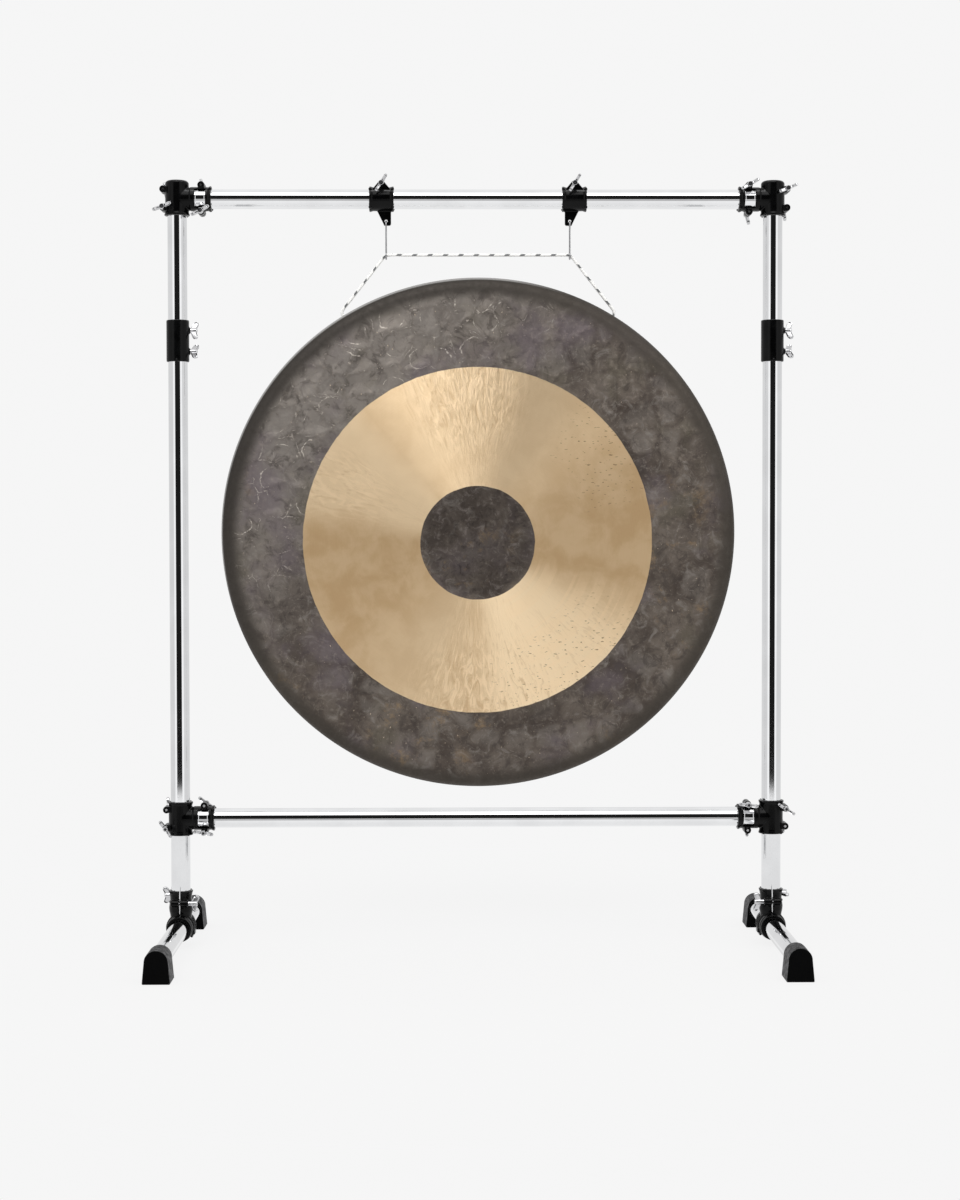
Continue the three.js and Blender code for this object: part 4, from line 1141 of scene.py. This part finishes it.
patina = blend_colour(tree, ramp(tree, mottle, 0.36, 0.66), (0.072, 0.056, 0.046), (0.156, 0.129, 0.107))
for share, colour in (
    # Painted light: the patina drawn lighter towards the upper left, where the light falls.
    (times(tree, lit_upper_left, 0.60), (0.268, 0.245, 0.222)),
    (times(tree, dished, ramp(tree, facet_tone, 0.25, 0.95, 0.02, 0.34)), (0.225, 0.203, 0.184)),
    (times(tree, dished, ramp(tree, facet_tone, 0.35, 0.0, 0, 0.26)), (0.080, 0.064, 0.056)),
    # Painted shade: darker along the facet edges, so that each facet reads rounded.
    (times(tree, ramp(tree, edge_gap, 0.01, 0.11, 0.26, 0), worked), (0.066, 0.055, 0.050)),
    (ramp(tree, cloudy, 0.50, 0.34, 0, 0.62), (0.056, 0.046, 0.041)),
    (ramp(tree, cloudy, 0.52, 0.70, 0, 0.62), (0.265, 0.240, 0.216)),
    (ramp(tree, noise(tree, whole, 6.3, 4.0, 0.55), 0.50, 0.68, 0, 0.55), (0.150, 0.122, 0.138)),
    (ramp(tree, noise(tree, whole, 8.1, 5.0, 0.55), 0.54, 0.70, 0, 0.5), (0.116, 0.102, 0.074)),
    (ramp(tree, fine, 0.52, 0.74, 0, 0.4), (0.30, 0.26, 0.22)),
    (rusty, (0.30, 0.205, 0.115)),
    (times(tree, rubbed_and_glinting, 0.68), (0.66, 0.60, 0.53)),
    (times(tree, crumbs_and_glints, 0.5), (0.58, 0.52, 0.45)),
    (times(tree, ramp(tree, speck_noise, 0.70, 0.74, 0, 0.8), worked), (0.62, 0.50, 0.38)),
    (rim_dark, (0.064, 0.055, 0.046)),
    # Painted shade: the band by the rim darker still towards the upper left.
    (times(tree, rim_dark, lit_upper_left, 0.7), (0.026, 0.023, 0.021)),
    (lip, (0.46, 0.45, 0.44)),
    (times(tree, boss, 0.45), (0.026, 0.021, 0.018)),
    (times(tree, boss, ramp(tree, boss_marks, 0.52, 0.68, 0, 0.50)), (0.205, 0.176, 0.162)),
    (times(tree, boss, ramp(tree, boss_marks, 0.46, 0.34, 0, 0.55)), (0.024, 0.019, 0.018)),
):
    patina = blend_colour(tree, share, patina, colour)

# The scraped ring: fine turning marks, a few broad steps, radial beating and small dark nicks, with painted
# highlight wedges and painted sheen on the beaten streaks at the top and bottom.
lathe, broad = turning_marks(tree, 520.0, 3.0), turning_marks(tree, 30.0, 2.0)
spin = times(tree, around, 2 * math.pi)
spoke = add(tree, "CombineXYZ", {0: times(tree, maths(tree, "COSINE", spin), 24.0),
                                 1: times(tree, maths(tree, "SINE", spin), 24.0),
                                 2: times(tree, outward, 24.0)}).outputs[0]
beaten = noise(tree, spoke, 1.0, 4.0, 0.62, 1.6)
# The beaten streaks at the top and bottom of the ring are real hammer marks in the bump; in the colour, their
# bright and dark streaks are painted sheen.
struck_and_sheen = largest(tree, near_turn(tree, 0.49, 0.025, 0.085), near_turn(tree, 0.985, 0.030, 0.11),
                 times(tree, near_turn(tree, 0.88, 0.03, 0.08), 0.5))
struck_and_sheen = largest(tree, struck_and_sheen, times(tree, near_turn(tree, 0.315, 0.012, 0.05), 0.6))
struck_and_sheen = times(tree, struck_and_sheen, ramp(tree, outward, 0.15, 0.26, 0.35, 1))
# Painted highlight: pale wedges at given turns of the ring, where its sheen is brightest.
painted_wedge_highlight = 0.0
for middle, core, reach, share in ((0.50, 0.06, 0.22, 0.48), (0.335, 0.03, 0.08, 0.66),
                                   (0.91, 0.045, 0.125, 0.95), (0.04, 0.03, 0.13, 0.42)):
    painted_wedge_highlight = largest(tree, times(tree, near_turn(tree, middle, core, reach), share), painted_wedge_highlight)
nick_noise = noise(tree, stretched(tree, flat, (95.0, 260.0, 1.0)), 1.0, 1.0, 0.55)
nicked = times(tree, ramp(tree, nick_noise, 0.672, 0.702, 0, 0.75), ramp(tree, outward, 0.20, 0.25),
               largest(tree, near_turn(tree, 0.655, 0.03, 0.07), near_turn(tree, 0.90, 0.05, 0.11)))
cloud = noise(tree, whole, 17.0, 6.0, 0.60, 0.3)
golden = blend_colour(tree, ramp(tree, cloud, 0.35, 0.65), (0.562, 0.382, 0.206), (0.650, 0.469, 0.277))
for share, colour in (
    (painted_wedge_highlight, (0.93, 0.73, 0.48)),
    (times(tree, struck_and_sheen, ramp(tree, beaten, 0.48, 0.60, 0, 0.65)), (0.95, 0.73, 0.48)),
    (times(tree, struck_and_sheen, ramp(tree, beaten, 0.45, 0.35, 0, 0.5)), (0.58, 0.39, 0.22)),
    (times(tree, near_turn(tree, 0.875, 0.04, 0.09), ramp(tree, broad, 0.50, 0.53, 0, 0.30)),
     (0.93, 0.70, 0.44)),
    (nicked, (0.21, 0.13, 0.065)),
):
    golden = blend_colour(tree, share, golden, colour)
ragged = maths(tree, "MULTIPLY_ADD", noise(tree, whole, 40.0, 4.0, 0.55), 0.003,
               maths(tree, "SUBTRACT", outward, 0.0015))
bright = times(tree, ramp(tree, ragged, RING_OUTER - 0.0005, RING_OUTER + 0.0007, 1, 0),
               ramp(tree, ragged, RING_INNER - 0.0005, RING_INNER + 0.0007))

# The patina and the scraped metal are two shaders, and the ring's edges choose between them.
dull = maths(tree, "MULTIPLY_ADD", rim_dark, 0.12, ramp(tree, fine, 0.3, 0.7, 0.42, 0.58))
beat = bump(tree, times(tree, ramp(tree, edge_gap, 0.0, 0.40, 1, 0), worked), 0.42, 0.005)
feed(dark_skin, {"Metallic": 0.85, "Base Color": patina, "Roughness": dull,
                 "Normal": bump(tree, fine, 0.35, 0.0008, beat)})
tangent = add(tree, "Tangent", {}, direction_type="UV_MAP", uv_map="round")
turned = bump(tree, lathe, 0.15, 0.0003)
scraped = add(tree, "BsdfPrincipled", {
    "Metallic": 1.0, "Anisotropic": 0.75, "Anisotropic Rotation": 0.25, "Base Color": golden,
    "Roughness": ramp(tree, lathe, 0.3, 0.7, 0.38, 0.48), "Tangent": tangent.outputs[0],
    "Normal": bump(tree, times(tree, beaten, struck_and_sheen), 0.6, 0.0018, turned)})
mixed = add(tree, "MixShader", {"Fac": bright, 1: dark_skin.outputs[0], 2: scraped.outputs[0]})
feed(tree.nodes["Material Output"], {"Surface": mixed.outputs[0]})
fitted(gong, "gong", "gong", bronze)
gong.visible_glossy = False

gong_only = bpy.data.collections.new("gong_light_only")
gong_only.objects.link(gong)
area_light("gong_light", (-0.62, -3.5, 1.40), GONG_MIDDLE, 1.0, 9.5, gong_only)
